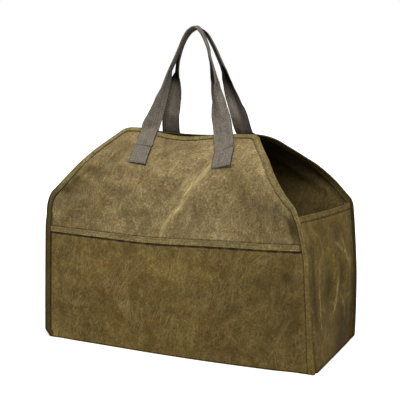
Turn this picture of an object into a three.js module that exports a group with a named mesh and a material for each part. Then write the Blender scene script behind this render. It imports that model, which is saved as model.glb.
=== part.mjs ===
// Log carrier in waxed canvas: a firewood bag with sloping shoulders and low end walls,
// a full-width slip pocket, taped seams and two webbing handles.
// Millimetres, +Z up. The pocket faces -Y and the base stands on Z = 0.
import * as THREE from "three";

const { clamp, degToRad, lerp, smoothstep } = THREE.MathUtils;

// Cloth, tape and webbing
const canvasThickness = 1.4;
const tapeThickness = 0.9;
const tapeWidth = 12;
const webbingThickness = 2;
const webbingWidth = 38;
const layerGap = 0.35; // between layers of cloth that lie on each other
const tapeSlack = 0.9; // between a tape and the cloth that it is folded over
const webbingGap = 1.2; // between the sewn webbing and the wall
const layerStep = canvasThickness + layerGap;
const seamStrip = tapeWidth + 1; // strip of cloth along an edge that the tape covers
const layerFadeStart = 1; // past a layer's end, where the tape starts to close on the wall

// Cut of the front and back walls: half widths, and lengths along the cloth from the floor
const floorHalfWidth = 290;
const shoulderHalfWidth = 279;
const seamBulge = { front: 0, back: 5 };
const shoulderLength = 268;
const topHalfWidth = 146;
const shoulderRounding = 20;
const topCornerRounding = 22;
const topSag = 20; // dip of the top edge between the handles, along the cloth
const topSagHalfSpan = 120;
const topSagReach = 110;

// Side profile of the two walls: where the middle of the cloth stands at each height
const wallFloorGap = 0.8;
const profileRows = [
  { height: wallFloorGap, front: -119.5, back: 119.5 },
  { height: 70, front: -120.5, back: 120.5 },
  { height: 140, front: -121, back: 121 },
  { height: 210, front: -121, back: 121 },
  { height: 270, front: -120, back: 120 },
  { height: 318, front: -119, back: 117 },
  { height: 350, front: -109, back: 95 },
  { height: 373, front: -94, back: 65 },
  { height: 388, front: -80, back: 43 },
  { height: 400, front: -66, back: 24.5 },
  { height: 412, front: -51, back: 6 },
  { height: 424, front: -36, back: -12.5 },
];

// Soft swells and hollows of the walls, outward where the push is positive
const swellRows = [
  { wall: "front", x: -90, length: 120, spreadX: 120, spreadLength: 80, push: 2.5 },
  { wall: "front", x: 120, length: 90, spreadX: 90, spreadLength: 70, push: 3 },
  { wall: "front", x: 5, length: 385, spreadX: 45, spreadLength: 60, push: -4 },
  { wall: "front", x: -165, length: 350, spreadX: 60, spreadLength: 45, push: 4 },
  { wall: "front", x: 170, length: 345, spreadX: 60, spreadLength: 45, push: 4 },
  { wall: "back", x: 60, length: 130, spreadX: 160, spreadLength: 90, push: 4 },
  { wall: "back", x: 15, length: 385, spreadX: 45, spreadLength: 60, push: -4 },
];
const swellFadeStart = 0.72; // share of the half width where a swell starts to die out
const swellFadeEnd = 0.94;

// End walls
const endLength = 279;
const endSag = 7;
const endCornerRadius = 3;
const endBelly = 6;
const endFoldRows = [
  { share: 0.3, spread: 0.07, push: -3 },
  { share: 0.55, spread: 0.08, push: 2.5 },
  { share: 0.78, spread: 0.06, push: -2.5 },
];
const flangeInset = 1.2; // flange edges stop short of the wall's own edge
const seamRoom = 0.6; // between the seam's tape and the end wall's corner
const seamAllowance = tapeWidth + endCornerRadius + seamRoom;

// Pocket
const pocketLength = 228;
const pocketTilt = 3; // the mouth stands higher at its right end
const pocketStep = canvasThickness + 2 * tapeSlack + tapeThickness; // room for the mouth's own tape
const pocketFade = 26;
const pocketBelly = 3;

// Handles: sewn patch, then free webbing that is folded lengthwise at the grip
const patchHeight = 42;
const patchThickness = 3.4;
const patchBottomBelow = 91; // along the cloth, under the top edge
const sewnStep = 13;
const strapSlack = 1.4; // room where the webbing rises over the wall's tape
const bindingLift = tapeSlack + tapeThickness + strapSlack;
const creaseHalfWidth = 1.6;
const gripFoldAngle = degToRad(86);
const gripTurn = degToRad(24);
const foldStartHeight = 420;
const foldEndHeight = 556;
const handleRoutes = {
  front: {
    patchX: [-80, 99],
    edgeX: [-85, 80],
    free: [
      { x: -65, y: -42, z: 484 },
      { x: -38, y: -45, z: 546 },
      { x: -14, y: -46, z: 594 },
      { x: 9, y: -46, z: 621.5 },
      { x: 33, y: -46, z: 594 },
      { x: 49, y: -45, z: 546 },
      { x: 58, y: -42, z: 484 },
    ],
  },
  back: {
    patchX: [-74, 108],
    edgeX: [-67, 102],
    free: [
      { x: -54, y: -8, z: 484 },
      { x: -46, y: -6, z: 546 },
      { x: -25, y: -5, z: 594 },
      { x: 9, y: -5, z: 618 },
      { x: 36, y: -5, z: 590 },
      { x: 57, y: -6, z: 546 },
      { x: 79, y: -8, z: 484 },
    ],
  },
};

// How finely the cloth is divided
const acrossDivisions = 14;
const uprightDivisions = 7;
const cutDivisions = [5, 10, 4]; // shoulder rounding, sloping edge, top corner
const pocketDivisions = 7;
const endRowDivisions = 9;
const endAcrossDivisions = 10;
const endCornerDivisions = 3;
const handleStations = 54;
const baseCornerDivisions = 4;
const curveSteps = 800; // for measuring lengths along a curve

// The pocket stands proud of the front wall, so the walls sit this far behind the middle of the whole
const depthShift = 3;

const canvas = { color: 0x6e5b34, roughness: 0.72, metalness: 0 };
const tape = { color: 0x66532f, roughness: 0.7, metalness: 0 };
const webbing = { color: 0x6f675c, roughness: 0.85, metalness: 0 };

// A closed solid from points and triangles, turned so that its faces point out
function closedGeometry(points, triangles) {
  let volume = 0;
  for (const [a, b, c] of triangles) {
    volume += points[a].dot(points[b].clone().cross(points[c]));
  }
  const outward = volume > 0 ? triangles : triangles.map(([a, b, c]) => [a, c, b]);
  const geometry = new THREE.BufferGeometry().setFromPoints(points);
  geometry.setIndex(outward.flat());
  geometry.computeVertexNormals();
  return geometry;
}

function gridNormals(grid) {
  const lastRow = grid.length - 1;
  const lastColumn = grid[0].length - 1;
  return grid.map((row, i) =>
    row.map((point, j) => {
      const across = row[Math.min(j + 1, lastColumn)].clone().sub(row[Math.max(j - 1, 0)]);
      const above = grid[Math.min(i + 1, lastRow)][j];
      const below = grid[Math.max(i - 1, 0)][j];
      return across.cross(above.clone().sub(below)).normalize();
    }),
  );
}

// A sheet of cloth: the grid is the middle of its thickness
function sheetGeometry(grid, normals, thickness) {
  const rows = grid.length;
  const columns = grid[0].length;
  const points = [];
  for (const sideOffset of [thickness / 2, -thickness / 2]) {
    for (let i = 0; i < rows; i++) {
      for (let j = 0; j < columns; j++) {
        points.push(grid[i][j].clone().addScaledVector(normals[i][j], sideOffset));
      }
    }
  }
  const inside = rows * columns;
  const triangles = [];
  for (let i = 0; i + 1 < rows; i++) {
    for (let j = 0; j + 1 < columns; j++) {
      const a = i * columns + j;
      const b = a + 1;
      const c = b + columns;
      const d = a + columns;
      triangles.push([a, b, c], [a, c, d]);
      triangles.push([inside + a, inside + c, inside + b], [inside + a, inside + d, inside + c]);
    }
  }
  const rim = [];
  for (let j = 0; j < columns - 1; j++) rim.push(j);
  for (let i = 0; i < rows - 1; i++) rim.push(i * columns + columns - 1);
  for (let j = columns - 1; j > 0; j--) rim.push((rows - 1) * columns + j);
  for (let i = rows - 1; i > 0; i--) rim.push(i * columns);
  rim.forEach((a, k) => {
    const b = rim[(k + 1) % rim.length];
    triangles.push([a, inside + a, inside + b], [a, inside + b, b]);
  });
  return closedGeometry(points, triangles);
}

// Triangles that close a flat or nearly flat loop, in the loop's own direction
function capTriangles(loop) {
  const centre = new THREE.Vector3();
  loop.forEach((point) => centre.addScaledVector(point, 1 / loop.length));
  const normal = new THREE.Vector3();
  loop.forEach((point, k) => {
    const next = loop[(k + 1) % loop.length];
    normal.add(point.clone().sub(centre).cross(next.clone().sub(centre)));
  });
  normal.normalize();
  const right = loop[1].clone().sub(loop[0]).projectOnPlane(normal).normalize();
  const up = normal.clone().cross(right);
  const flat = loop.map((point) => new THREE.Vector2(point.dot(right), point.dot(up)));
  return THREE.ShapeUtils.triangulateShape(flat, []).map(([a, b, c]) => {
    const turn = flat[b].clone().sub(flat[a]).cross(flat[c].clone().sub(flat[a]));
    return turn > 0 ? [a, b, c] : [a, c, b];
  });
}

// A solid through equal loops, closed at both ends
function loftGeometry(loops) {
  const size = loops[0].length;
  const triangles = [];
  for (let i = 0; i + 1 < loops.length; i++) {
    for (let k = 0; k < size; k++) {
      const a = i * size + k;
      const b = i * size + ((k + 1) % size);
      triangles.push([a, b, b + size], [a, b + size, a + size]);
    }
  }
  const last = (loops.length - 1) * size;
  triangles.push(...capTriangles(loops[0]).map(([a, b, c]) => [a, c, b]));
  triangles.push(...capTriangles(loops.at(-1)).map((face) => face.map((k) => k + last)));
  return closedGeometry(loops.flat(), triangles);
}

function pathTangents(points) {
  return points.map((point, k) => {
    const next = points[Math.min(k + 1, points.length - 1)];
    const previous = points[Math.max(k - 1, 0)];
    return next.clone().sub(previous).normalize();
  });
}

// Tape folded over an edge. Each station has a point on the edge, the sheet's normal there,
// and the thickness of further layers that the tape takes in ahead of and behind the sheet.
function tapeGeometry(stations) {
  const tangents = pathTangents(stations.map((station) => station.point));
  const fold = tapeSlack + tapeThickness;
  const rounding = tapeThickness;
  const tip = fold - tapeWidth;
  const loops = stations.map(({ point, normal, ahead, behind }, k) => {
    const reach = normal.clone().cross(tangents[k]).normalize();
    const face = canvasThickness / 2 + fold;
    const front = face + ahead;
    const rear = -face - behind;
    const section = [
      [tip, front],
      [fold - rounding, front],
      [fold, front - rounding],
      [fold, rear + rounding],
      [fold - rounding, rear],
      [tip, rear],
      [tip, rear + tapeThickness],
      [tapeSlack, rear + tapeThickness],
      [tapeSlack, front - tapeThickness],
      [tip, front - tapeThickness],
    ];
    return section.map(([out, through]) =>
      point.clone().addScaledVector(reach, out).addScaledVector(normal, through),
    );
  });
  return loftGeometry(loops);
}

// Front and back walls
function profileCurve(wall) {
  const points = profileRows.map((row) => new THREE.Vector3(0, row[wall], row.height));
  const curve = new THREE.CatmullRomCurve3(points, false, "centripetal");
  curve.arcLengthDivisions = curveSteps;
  return curve;
}

const profiles = { front: profileCurve("front"), back: profileCurve("back") };
const outwardSign = { front: -1, back: 1 };

function seamEdge(wall, length) {
  const share = length / shoulderLength;
  return lerp(floorHalfWidth, shoulderHalfWidth, share) + 4 * seamBulge[wall] * share * (1 - share);
}

function wallSwell(wall, x, length) {
  const fade = 1 - smoothstep(Math.abs(x) / floorHalfWidth, swellFadeStart, swellFadeEnd);
  return swellRows
    .filter((row) => row.wall === wall)
    .reduce((sum, row) => {
      const dx = (x - row.x) / row.spreadX;
      const dl = (length - row.length) / row.spreadLength;
      return sum + row.push * fade * Math.exp(-dx * dx - dl * dl);
    }, 0);
}

function wallPoint(wall, x, length) {
  const top = profiles[wall].getLength();
  const dip = Math.max(0, 1 - (x / topSagHalfSpan) ** 2) ** 2;
  const sagged = length - topSag * dip * smoothstep(length, top - topSagReach, top);
  const point = profiles[wall].getPointAt(clamp(sagged / top, 0, 1));
  point.x = x;
  point.y += outwardSign[wall] * wallSwell(wall, x, length);
  return point;
}

function wallNormal(wall, x, length) {
  const from = Math.max(length, 1);
  const along = wallPoint(wall, x, from).sub(wallPoint(wall, x, from - 1));
  const across = wallPoint(wall, x + 1, from).sub(wallPoint(wall, x - 1, from));
  return across.cross(along).normalize();
}

// Edge of the cut from the floor to the end of the top corner: half width and length of each row
function cutRows(wall) {
  const top = profiles[wall].getLength();
  const uprightEnd = shoulderLength - shoulderRounding;
  const shoulder = new THREE.Vector2(shoulderHalfWidth, shoulderLength);
  const corner = new THREE.Vector2(topHalfWidth, top);
  const slope = corner.clone().sub(shoulder).normalize();
  const slopeStart = shoulder.clone().addScaledVector(slope, shoulderRounding);
  const slopeEnd = corner.clone().addScaledVector(slope, -topCornerRounding);
  const cut = new THREE.Path();
  cut.moveTo(seamEdge(wall, uprightEnd), uprightEnd);
  cut.quadraticCurveTo(shoulder.x, shoulder.y, slopeStart.x, slopeStart.y);
  cut.lineTo(slopeEnd.x, slopeEnd.y);
  cut.quadraticCurveTo(corner.x, corner.y, corner.x - topCornerRounding, corner.y);
  const rows = [];
  for (let i = 0; i <= uprightDivisions; i++) {
    const length = ((pocketLength + pocketTilt) * i) / uprightDivisions;
    rows.push({ halfWidth: seamEdge(wall, length), length });
  }
  rows.push({ halfWidth: seamEdge(wall, uprightEnd), length: uprightEnd });
  cut.curves.forEach((curve, k) => {
    for (let i = 1; i <= cutDivisions[k]; i++) {
      const point = curve.getPoint(i / cutDivisions[k]);
      rows.push({ halfWidth: point.x, length: point.y });
    }
  });
  return rows;
}

// Half width of a wall's cut at any length, read between its rows
function cutHalfWidth(rows, length) {
  const above = Math.max(1, rows.findIndex((row) => row.length >= length));
  const low = rows[above - 1];
  const high = rows[above];
  return lerp(low.halfWidth, high.halfWidth, (length - low.length) / (high.length - low.length));
}

// Places across a sheet: its two seam strips, and even steps between them
function placesAcross(halfWidth) {
  const inner = halfWidth - seamStrip;
  const places = [-halfWidth];
  for (let j = 0; j <= acrossDivisions; j++) {
    places.push(inner * ((2 * j) / acrossDivisions - 1));
  }
  places.push(halfWidth);
  return places;
}

function wallSheet(wall) {
  const rows = cutRows(wall);
  const overRows = (find) =>
    rows.map(({ halfWidth, length }) => placesAcross(halfWidth).map((x) => find(wall, x, length)));
  return { rows, grid: overRows(wallPoint), normals: overRows(wallNormal) };
}

const wallSheets = { front: wallSheet("front"), back: wallSheet("back") };

// Stations up the left edge of a wall, along its top and down its right edge
function wallEdge({ rows, grid, normals }, layers) {
  const lastRow = rows.length - 1;
  const lastColumn = grid[0].length - 1;
  const route = rows.map((row, i) => [i, 0]);
  for (let j = 1; j < lastColumn; j++) route.push([lastRow, j]);
  for (let i = lastRow; i >= 0; i--) route.push([i, lastColumn]);
  return route.map(([i, j]) => ({
    point: grid[i][j],
    normal: normals[i][j],
    ...layers(rows[i].length, Math.sign(grid[i][j].x)),
  }));
}

// Layers that a wall's tape takes in beside the wall: the pocket ahead, the end wall's flange behind
function pocketLayer(length, side) {
  const mouth = pocketLength + side * pocketTilt;
  return pocketStep * (1 - smoothstep(length, mouth + layerFadeStart, mouth + pocketFade));
}

function endLayer(length) {
  return layerStep * (1 - smoothstep(length, endLength + layerFadeStart, endLength + tapeWidth));
}

function pocketGrid() {
  const grid = [];
  for (let i = 0; i <= pocketDivisions; i++) {
    const rise = i / pocketDivisions;
    const edge = seamEdge("front", pocketLength * rise) - flangeInset;
    grid.push(
      placesAcross(edge).map((x) => {
        const share = x / edge;
        const point = wallPoint("front", x, (pocketLength + pocketTilt * share) * rise);
        const middle = 1 - smoothstep(Math.abs(share), swellFadeStart, swellFadeEnd);
        point.y -= pocketStep + pocketBelly * middle * Math.sin(Math.PI * rise);
        return point;
      }),
    );
  }
  return grid;
}

// End walls: a flange behind the front wall's edge, a rounded corner, the wall and the same again
function endSeam(wall, length) {
  const { y, z } = profiles[wall].getPointAt(length / profiles[wall].getLength());
  const edge = cutHalfWidth(wallSheets[wall].rows, length);
  const seamY = y - outwardSign[wall] * layerStep;
  const wallX = edge - seamAllowance;
  const plan = [{ x: edge - flangeInset, y: seamY, z }];
  for (let k = 0; k <= endCornerDivisions; k++) {
    const angle = ((Math.PI / 2) * k) / endCornerDivisions;
    plan.push({
      x: wallX + endCornerRadius * (1 - Math.sin(angle)),
      y: seamY - outwardSign[wall] * endCornerRadius * (1 - Math.cos(angle)),
      z,
    });
  }
  return plan;
}

function endPlan(length) {
  const front = endSeam("front", length);
  const back = endSeam("back", length);
  const start = front.at(-1);
  const end = back.at(-1);
  const between = [];
  for (let k = 1; k < endAcrossDivisions; k++) {
    const share = k / endAcrossDivisions;
    const x = lerp(start.x, end.x, share);
    const y = lerp(start.y, end.y, share);
    const z = lerp(start.z, end.z, share);
    between.push({ x, y, z, share });
  }
  return [...front, ...between, ...back.reverse()];
}

function endGrid(side) {
  const grid = [];
  for (let i = 0; i <= endRowDivisions; i++) {
    const rise = i / endRowDivisions;
    grid.push(
      endPlan(endLength * rise).map(({ x, y, z, share = 0 }) => {
        const swell = Math.sin(Math.PI * share);
        const folds = endFoldRows.reduce(
          (sum, row) => sum + row.push * Math.exp(-(((share - row.share) / row.spread) ** 2)),
          0,
        );
        const upright = Math.sin(Math.PI * rise);
        const outward = swell * upright * (endBelly + folds);
        return new THREE.Vector3(side * (x + outward), y, z - endSag * swell * rise);
      }),
    );
  }
  return grid;
}

// The tape of an end wall stops at the corners, just clear of the seam tapes
function endEdge(grid) {
  const top = grid.length - 1;
  const normals = gridNormals(grid)[top];
  const first = endCornerDivisions + 1;
  const last = grid[top].length - 1 - first;
  const stations = [];
  for (let j = first; j <= last; j++) {
    stations.push({ point: grid[top][j], normal: normals[j], ahead: 0, behind: 0 });
  }
  return stations;
}

// Base: a flat sheet that fills the floor between the walls
function baseGeometry() {
  const halfLength = floorHalfWidth - seamAllowance - canvasThickness / 2 - layerGap;
  const halfDepth = -profileRows[0].front - canvasThickness / 2 - layerGap;
  const corner = 2 * endCornerRadius;
  const outline = new THREE.Shape();
  outline.moveTo(corner - halfLength, -halfDepth);
  outline.lineTo(halfLength - corner, -halfDepth);
  outline.quadraticCurveTo(halfLength, -halfDepth, halfLength, corner - halfDepth);
  outline.lineTo(halfLength, halfDepth - corner);
  outline.quadraticCurveTo(halfLength, halfDepth, halfLength - corner, halfDepth);
  outline.lineTo(corner - halfLength, halfDepth);
  outline.quadraticCurveTo(-halfLength, halfDepth, -halfLength, halfDepth - corner);
  outline.lineTo(-halfLength, corner - halfDepth);
  outline.quadraticCurveTo(-halfLength, -halfDepth, corner - halfLength, -halfDepth);
  return new THREE.ExtrudeGeometry(outline, {
    depth: canvasThickness,
    bevelEnabled: false,
    curveSegments: baseCornerDivisions,
  });
}

// Handles
function sewnLeg(wall, leg) {
  const top = profiles[wall].getLength();
  const { patchX, edgeX } = handleRoutes[wall];
  const patchTopBelow = patchBottomBelow - patchHeight;
  const points = [];
  for (let below = patchBottomBelow; below >= 0; below -= sewnStep) {
    const x = lerp(edgeX[leg], patchX[leg], below / patchBottomBelow);
    const outward = wallNormal(wall, x, top - below).multiplyScalar(-outwardSign[wall]);
    const patchShare = smoothstep(below, patchTopBelow - sewnStep / 2, patchTopBelow);
    const tapeShare = 1 - smoothstep(below, tapeWidth, 3 * tapeWidth);
    const halfThickness = lerp(webbingThickness, patchThickness, patchShare) / 2;
    const lift = canvasThickness / 2 + webbingGap + halfThickness + bindingLift * tapeShare;
    points.push(wallPoint(wall, x, top - below).addScaledVector(outward, lift));
  }
  return points;
}

// Webbing section: two halves that fold inward about creases beside the middle
function webbingSection(thickness, foldAngle) {
  const half = webbingWidth / 2 - creaseHalfWidth;
  const along = new THREE.Vector2(Math.cos(foldAngle), Math.sin(foldAngle));
  const outer = new THREE.Vector2(along.y, -along.x).multiplyScalar(thickness / 2);
  const crease = new THREE.Vector2(creaseHalfWidth, 0);
  const tip = crease.clone().addScaledVector(along, half);
  const mitre = new THREE.Vector2(Math.tan(foldAngle / 2), -1).multiplyScalar(thickness / 2);
  const rightSide = [
    crease.clone().add(mitre),
    tip.clone().add(outer),
    tip.clone().sub(outer),
    crease.clone().sub(mitre),
  ];
  const leftSide = rightSide.map((point) => new THREE.Vector2(-point.x, point.y)).reverse();
  return [...rightSide, ...leftSide];
}

function handleGeometry(wall) {
  const free = handleRoutes[wall].free.map(({ x, y, z }) => new THREE.Vector3(x, y, z));
  const route = [...sewnLeg(wall, 0), ...free, ...sewnLeg(wall, 1).reverse()];
  const curve = new THREE.CatmullRomCurve3(route, false, "centripetal");
  curve.arcLengthDivisions = curveSteps;
  const total = curve.getLength();
  const inward = -outwardSign[wall];
  const gripInward = new THREE.Vector3(-Math.sin(gripTurn), Math.cos(gripTurn), 0);
  gripInward.multiplyScalar(inward);
  const loops = [];
  for (let k = 0; k <= handleStations; k++) {
    const share = k / handleStations;
    const point = curve.getPointAt(share);
    const tangent = curve.getTangentAt(share);
    const fold = smoothstep(point.z, foldStartHeight, foldEndHeight);
    const across = new THREE.Vector3(Math.sign(tangent.z), 0, 0);
    across.projectOnPlane(tangent).normalize();
    const legInward = tangent.clone().cross(across).multiplyScalar(inward);
    const inwardNow = legInward.lerp(gripInward, fold).projectOnPlane(tangent).normalize();
    const acrossNow = inwardNow.clone().cross(tangent);
    const fromEnd = total * Math.min(share, 1 - share);
    const patchShare = 1 - smoothstep(fromEnd, patchHeight, patchHeight + sewnStep / 2);
    const thickness = lerp(webbingThickness, patchThickness, patchShare);
    loops.push(
      webbingSection(thickness, gripFoldAngle * fold).map(({ x, y }) =>
        point.clone().addScaledVector(acrossNow, x).addScaledVector(inwardNow, y),
      ),
    );
  }
  return loftGeometry(loops);
}

// Assembly
const carrier = new THREE.Group();
carrier.position.y = depthShift;

function addPiece(name, geometry, finish) {
  const piece = new THREE.Mesh(geometry, new THREE.MeshStandardMaterial(finish));
  piece.name = name;
  carrier.add(piece);
}

const pocket = pocketGrid();
const pocketNormals = gridNormals(pocket);
const pocketMouth = pocket
  .at(-1)
  .map((point, j) => ({ point, normal: pocketNormals.at(-1)[j], ahead: 0, behind: 0 }))
  .slice(1, -1);

for (const [wall, { grid, normals }] of Object.entries(wallSheets)) {
  addPiece(`${wall}_panel`, sheetGeometry(grid, normals, canvasThickness), canvas);
}
addPiece("bottom_panel", baseGeometry(), canvas);
addPiece("front_pocket", sheetGeometry(pocket, pocketNormals, canvasThickness), canvas);
const frontEdge = wallEdge(wallSheets.front, (length, side) => ({
  ahead: pocketLayer(length, side),
  behind: endLayer(length),
}));
const backEdge = wallEdge(wallSheets.back, (length) => ({ ahead: endLayer(length), behind: 0 }));
addPiece("front_binding", tapeGeometry(frontEdge), tape);
addPiece("back_binding", tapeGeometry(backEdge), tape);
addPiece("pocket_binding", tapeGeometry(pocketMouth), tape);
for (const [name, side] of [["left", -1], ["right", 1]]) {
  const grid = endGrid(side);
  addPiece(`end_panel_${name}`, sheetGeometry(grid, gridNormals(grid), canvasThickness), canvas);
  addPiece(`end_binding_${name}`, tapeGeometry(endEdge(grid)), tape);
}
addPiece("front_handle", handleGeometry("front"), webbing);
addPiece("back_handle", handleGeometry("back"), webbing);

export default carrier;
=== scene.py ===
import math
from functools import partial
import bpy
import numpy as np
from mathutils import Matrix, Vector


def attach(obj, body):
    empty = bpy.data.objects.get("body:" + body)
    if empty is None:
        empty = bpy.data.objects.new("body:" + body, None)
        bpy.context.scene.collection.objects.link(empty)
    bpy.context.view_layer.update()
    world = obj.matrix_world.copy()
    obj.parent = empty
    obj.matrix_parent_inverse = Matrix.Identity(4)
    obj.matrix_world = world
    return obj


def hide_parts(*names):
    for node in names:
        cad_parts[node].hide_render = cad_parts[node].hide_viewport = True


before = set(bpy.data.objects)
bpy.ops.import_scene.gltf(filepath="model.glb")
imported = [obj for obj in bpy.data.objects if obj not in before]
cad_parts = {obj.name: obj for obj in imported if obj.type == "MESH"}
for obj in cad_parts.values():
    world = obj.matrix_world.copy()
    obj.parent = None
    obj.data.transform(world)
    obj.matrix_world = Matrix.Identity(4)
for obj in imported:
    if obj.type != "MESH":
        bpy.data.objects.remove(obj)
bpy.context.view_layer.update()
bpy.ops.object.select_all(action="DESELECT")
print("frame loaded with", len(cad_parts), "nodes")

# Tables and dictionaries are in millimetres, with +Z up and the pocket towards -Y
mm = 0.001
outward = {"front": -1, "back": 1}
layers = {
    "canvas": 1.4,  # thicknesses
    "tape": 0.9,
    "webbing": 1.7,
    "tapeSlack": 0.2,  # between a tape and the cloth inside it
    "seamStep": 1.75,  # from one layer of canvas to the next in a seam
    "depthShift": 3,  # the walls sit this far behind the middle of the whole
    "floorRoll": 4,  # radius of the fold where cloth turns under at the floor
    "smoothAngle": 50,  # in degrees, edges that turn further stay sharp
}


def named(columns, rows):  # rows of a table, or of one for each piece, under their columns' names
    if isinstance(rows, dict):
        return {piece: named(columns, table) for piece, table in rows.items()}
    return [dict(zip(columns.split(), row)) for row in rows]


# Soft shapes

noiseCells = 97  # after so many hills the noise repeats
lineSamples = 40  # between two points of a smooth line


def smoothStep(value, low, high):
    share = np.clip((value - low) / (high - low), 0, 1)
    return share * share * (3 - 2 * share)


def smoothFall(value, low, high):
    return 1 - smoothStep(value, low, high)


def band(value, low, full, still, high):  # rises from low to full and falls from still to high
    return smoothStep(value, low, full) * smoothFall(value, still, high)


def hill(distance, spread):
    return np.exp(-((distance / spread) ** 2))


def spot(row, x, length):  # a soft round place on the cloth
    return hill(x - row["x"], row["spreadX"]) * hill(length - row["length"], row["spreadLength"])


def most(*values):
    return np.maximum.reduce(values)


def softNoise(u, v, size, seed):  # rolling hills about one size across, from -1 to 1
    turns = np.random.default_rng(seed).uniform(0, 2 * math.pi, (noiseCells, noiseCells))
    x = np.asarray(u / size, float)
    y = np.asarray(v / size, float)
    column = np.floor(x).astype(int)
    row = np.floor(y).astype(int)
    x = x - column
    y = y - row

    def corner(right, above):
        turn = turns[(column + right) % noiseCells, (row + above) % noiseCells]
        return np.cos(turn) * (x - right) + np.sin(turn) * (y - above)

    easeX = x**3 * (x * (x * 6 - 15) + 10)
    easeY = y**3 * (y * (y * 6 - 15) + 10)
    low = corner(0, 0) + easeX * (corner(1, 0) - corner(0, 0))
    high = corner(0, 1) + easeX * (corner(1, 1) - corner(0, 1))
    return 1.5 * (low + easeY * (high - low))


def lineNoise(along, size, seed):
    return softNoise(along, 0 * along, size, seed)


def crumple(u, v, size, seed):  # sharp-crested folds, as stiff waxed cloth has
    return 1 - 2.2 * np.abs(softNoise(u, v, size, seed))


def between(start, end, value, low=0, high=1):
    return start + (end - start) * (value - low) / (high - low)


def measured(samples):  # samples of a line with the length up to each
    steps = np.linalg.norm(np.diff(samples, axis=0), axis=1)
    return samples, np.concatenate([[0], np.cumsum(steps)])


def smoothLine(points):  # centripetal curve through the points
    points = np.asarray(points, float)
    ends = np.vstack([2 * points[0] - points[1], points, 2 * points[-1] - points[-2]])
    samples = []
    for k in range(len(points) - 1):
        four = ends[k : k + 4]
        gaps = np.sqrt(np.linalg.norm(np.diff(four, axis=0), axis=1))
        knots = np.concatenate([[0], np.cumsum(gaps)])
        t = np.linspace(knots[1], knots[2], lineSamples, endpoint=False)[:, None]
        three = [between(four[i], four[i + 1], t, knots[i], knots[i + 1]) for i in range(3)]
        two = [between(three[i], three[i + 1], t, knots[i], knots[i + 2]) for i in range(2)]
        samples.append(between(two[0], two[1], t, knots[1], knots[2]))
    return measured(np.vstack(samples + [points[-1:]]))


def alongLine(line, distance):
    samples, lengths = line
    columns = [np.interp(distance, lengths, samples[:, k]) for k in range(samples.shape[1])]
    return np.stack(columns, axis=-1)


def evenly(path, step):  # the same line with stations the same distance apart
    line = measured(np.asarray(path, float))
    count = max(2, int(round(line[1][-1] / step)))
    return alongLine(line, np.linspace(0, line[1][-1], count + 1))


def nearLine(x, y, path):  # distance to a line of points, and the share of the way along it
    nearest = np.full(np.shape(x), 1e9)
    share = np.zeros(np.shape(x))
    points, lengths = measured(np.asarray(path, float))
    for k in range(len(points) - 1):
        side = points[k + 1] - points[k]
        t = ((x - points[k][0]) * side[0] + (y - points[k][1]) * side[1]) / (side @ side)
        t = np.clip(t, 0, 1)
        gap = np.hypot(x - points[k][0] - t * side[0], y - points[k][1] - t * side[1])
        closer = gap < nearest
        nearest = np.where(closer, gap, nearest)
        here = (lengths[k] + t * (lengths[k + 1] - lengths[k])) / lengths[-1]
        share = np.where(closer, here, share)
    return nearest, share


def unit(vectors):
    return vectors / np.linalg.norm(vectors, axis=-1, keepdims=True)


def heading(points):  # direction of travel along a row of points
    return unit(np.gradient(points, axis=0))


def squared(vectors, travel):  # turned square to the direction of travel
    return unit(vectors - travel * (vectors * travel).sum(axis=1, keepdims=True))


def floorTuck(height):  # how far cloth has turned under at this height
    roll = layers["floorRoll"]
    low = np.clip(roll - height, 0, None)
    return roll - np.sqrt(roll**2 - low**2)


# Pieces


def inFrame(points):  # from the tables' millimetres to the frame's metres
    return (points + [0, layers["depthShift"], 0]) * mm


def readAll(items, name, width=1, kind=float):
    values = np.empty(len(items) * width, kind)
    items.foreach_get(name, values)
    return values


def clothPiece(name, columns, rows, place):  # a flat cut, with each point then taken to its place
    bpy.ops.object.select_all(action="DESELECT")
    bpy.ops.mesh.primitive_grid_add(x_subdivisions=columns, y_subdivisions=rows, size=1)
    piece = bpy.context.object
    piece.name = name
    mesh = piece.data
    flat = readAll(mesh.vertices, "co", 3).reshape(-1, 3) + 0.5
    points, cut, marks = place(flat[:, 0], flat[:, 1])
    mesh.vertices.foreach_set("co", inFrame(points).ravel())
    for mark, values in marks.items():
        mesh.attributes.new(mark, "FLOAT", "POINT").data.foreach_set("value", values)
    corners = readAll(mesh.loops, "vertex_index", 1, int)
    mesh.uv_layers[0].name = "cloth"
    mesh.uv_layers[0].data.foreach_set("uv", (cut * mm)[corners].ravel())
    mesh.update()
    return piece


def thicken(piece, thickness, outside=None):
    bpy.ops.object.select_all(action="DESELECT")
    piece.select_set(True)
    bpy.context.view_layer.objects.active = piece
    wall = piece.modifiers.new("thickness", "SOLIDIFY")
    wall.thickness = thickness * mm
    wall.offset = 0
    bpy.ops.object.modifier_apply(modifier=wall.name)
    bpy.ops.object.shade_smooth_by_angle(angle=math.radians(layers["smoothAngle"]))
    if outside is not None:  # gloom, the painted shade inside, is for the inner face alone
        near, far = readAll(piece.data.vertices, "co", 3).reshape(2, -1, 3)
        nearInner = ((near - far) * outside).sum() < 0
        shades = piece.data.attributes["gloom"].data
        kept = np.repeat([nearInner, not nearInner], len(near))
        shades.foreach_set("value", readAll(shades, "value") * kept)


def settle(piece, node, material):
    piece.data.materials.clear()
    piece.data.materials.append(material)
    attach(piece, "root")
    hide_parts(node)
    print("made", piece.name)


# Front and back walls

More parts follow.
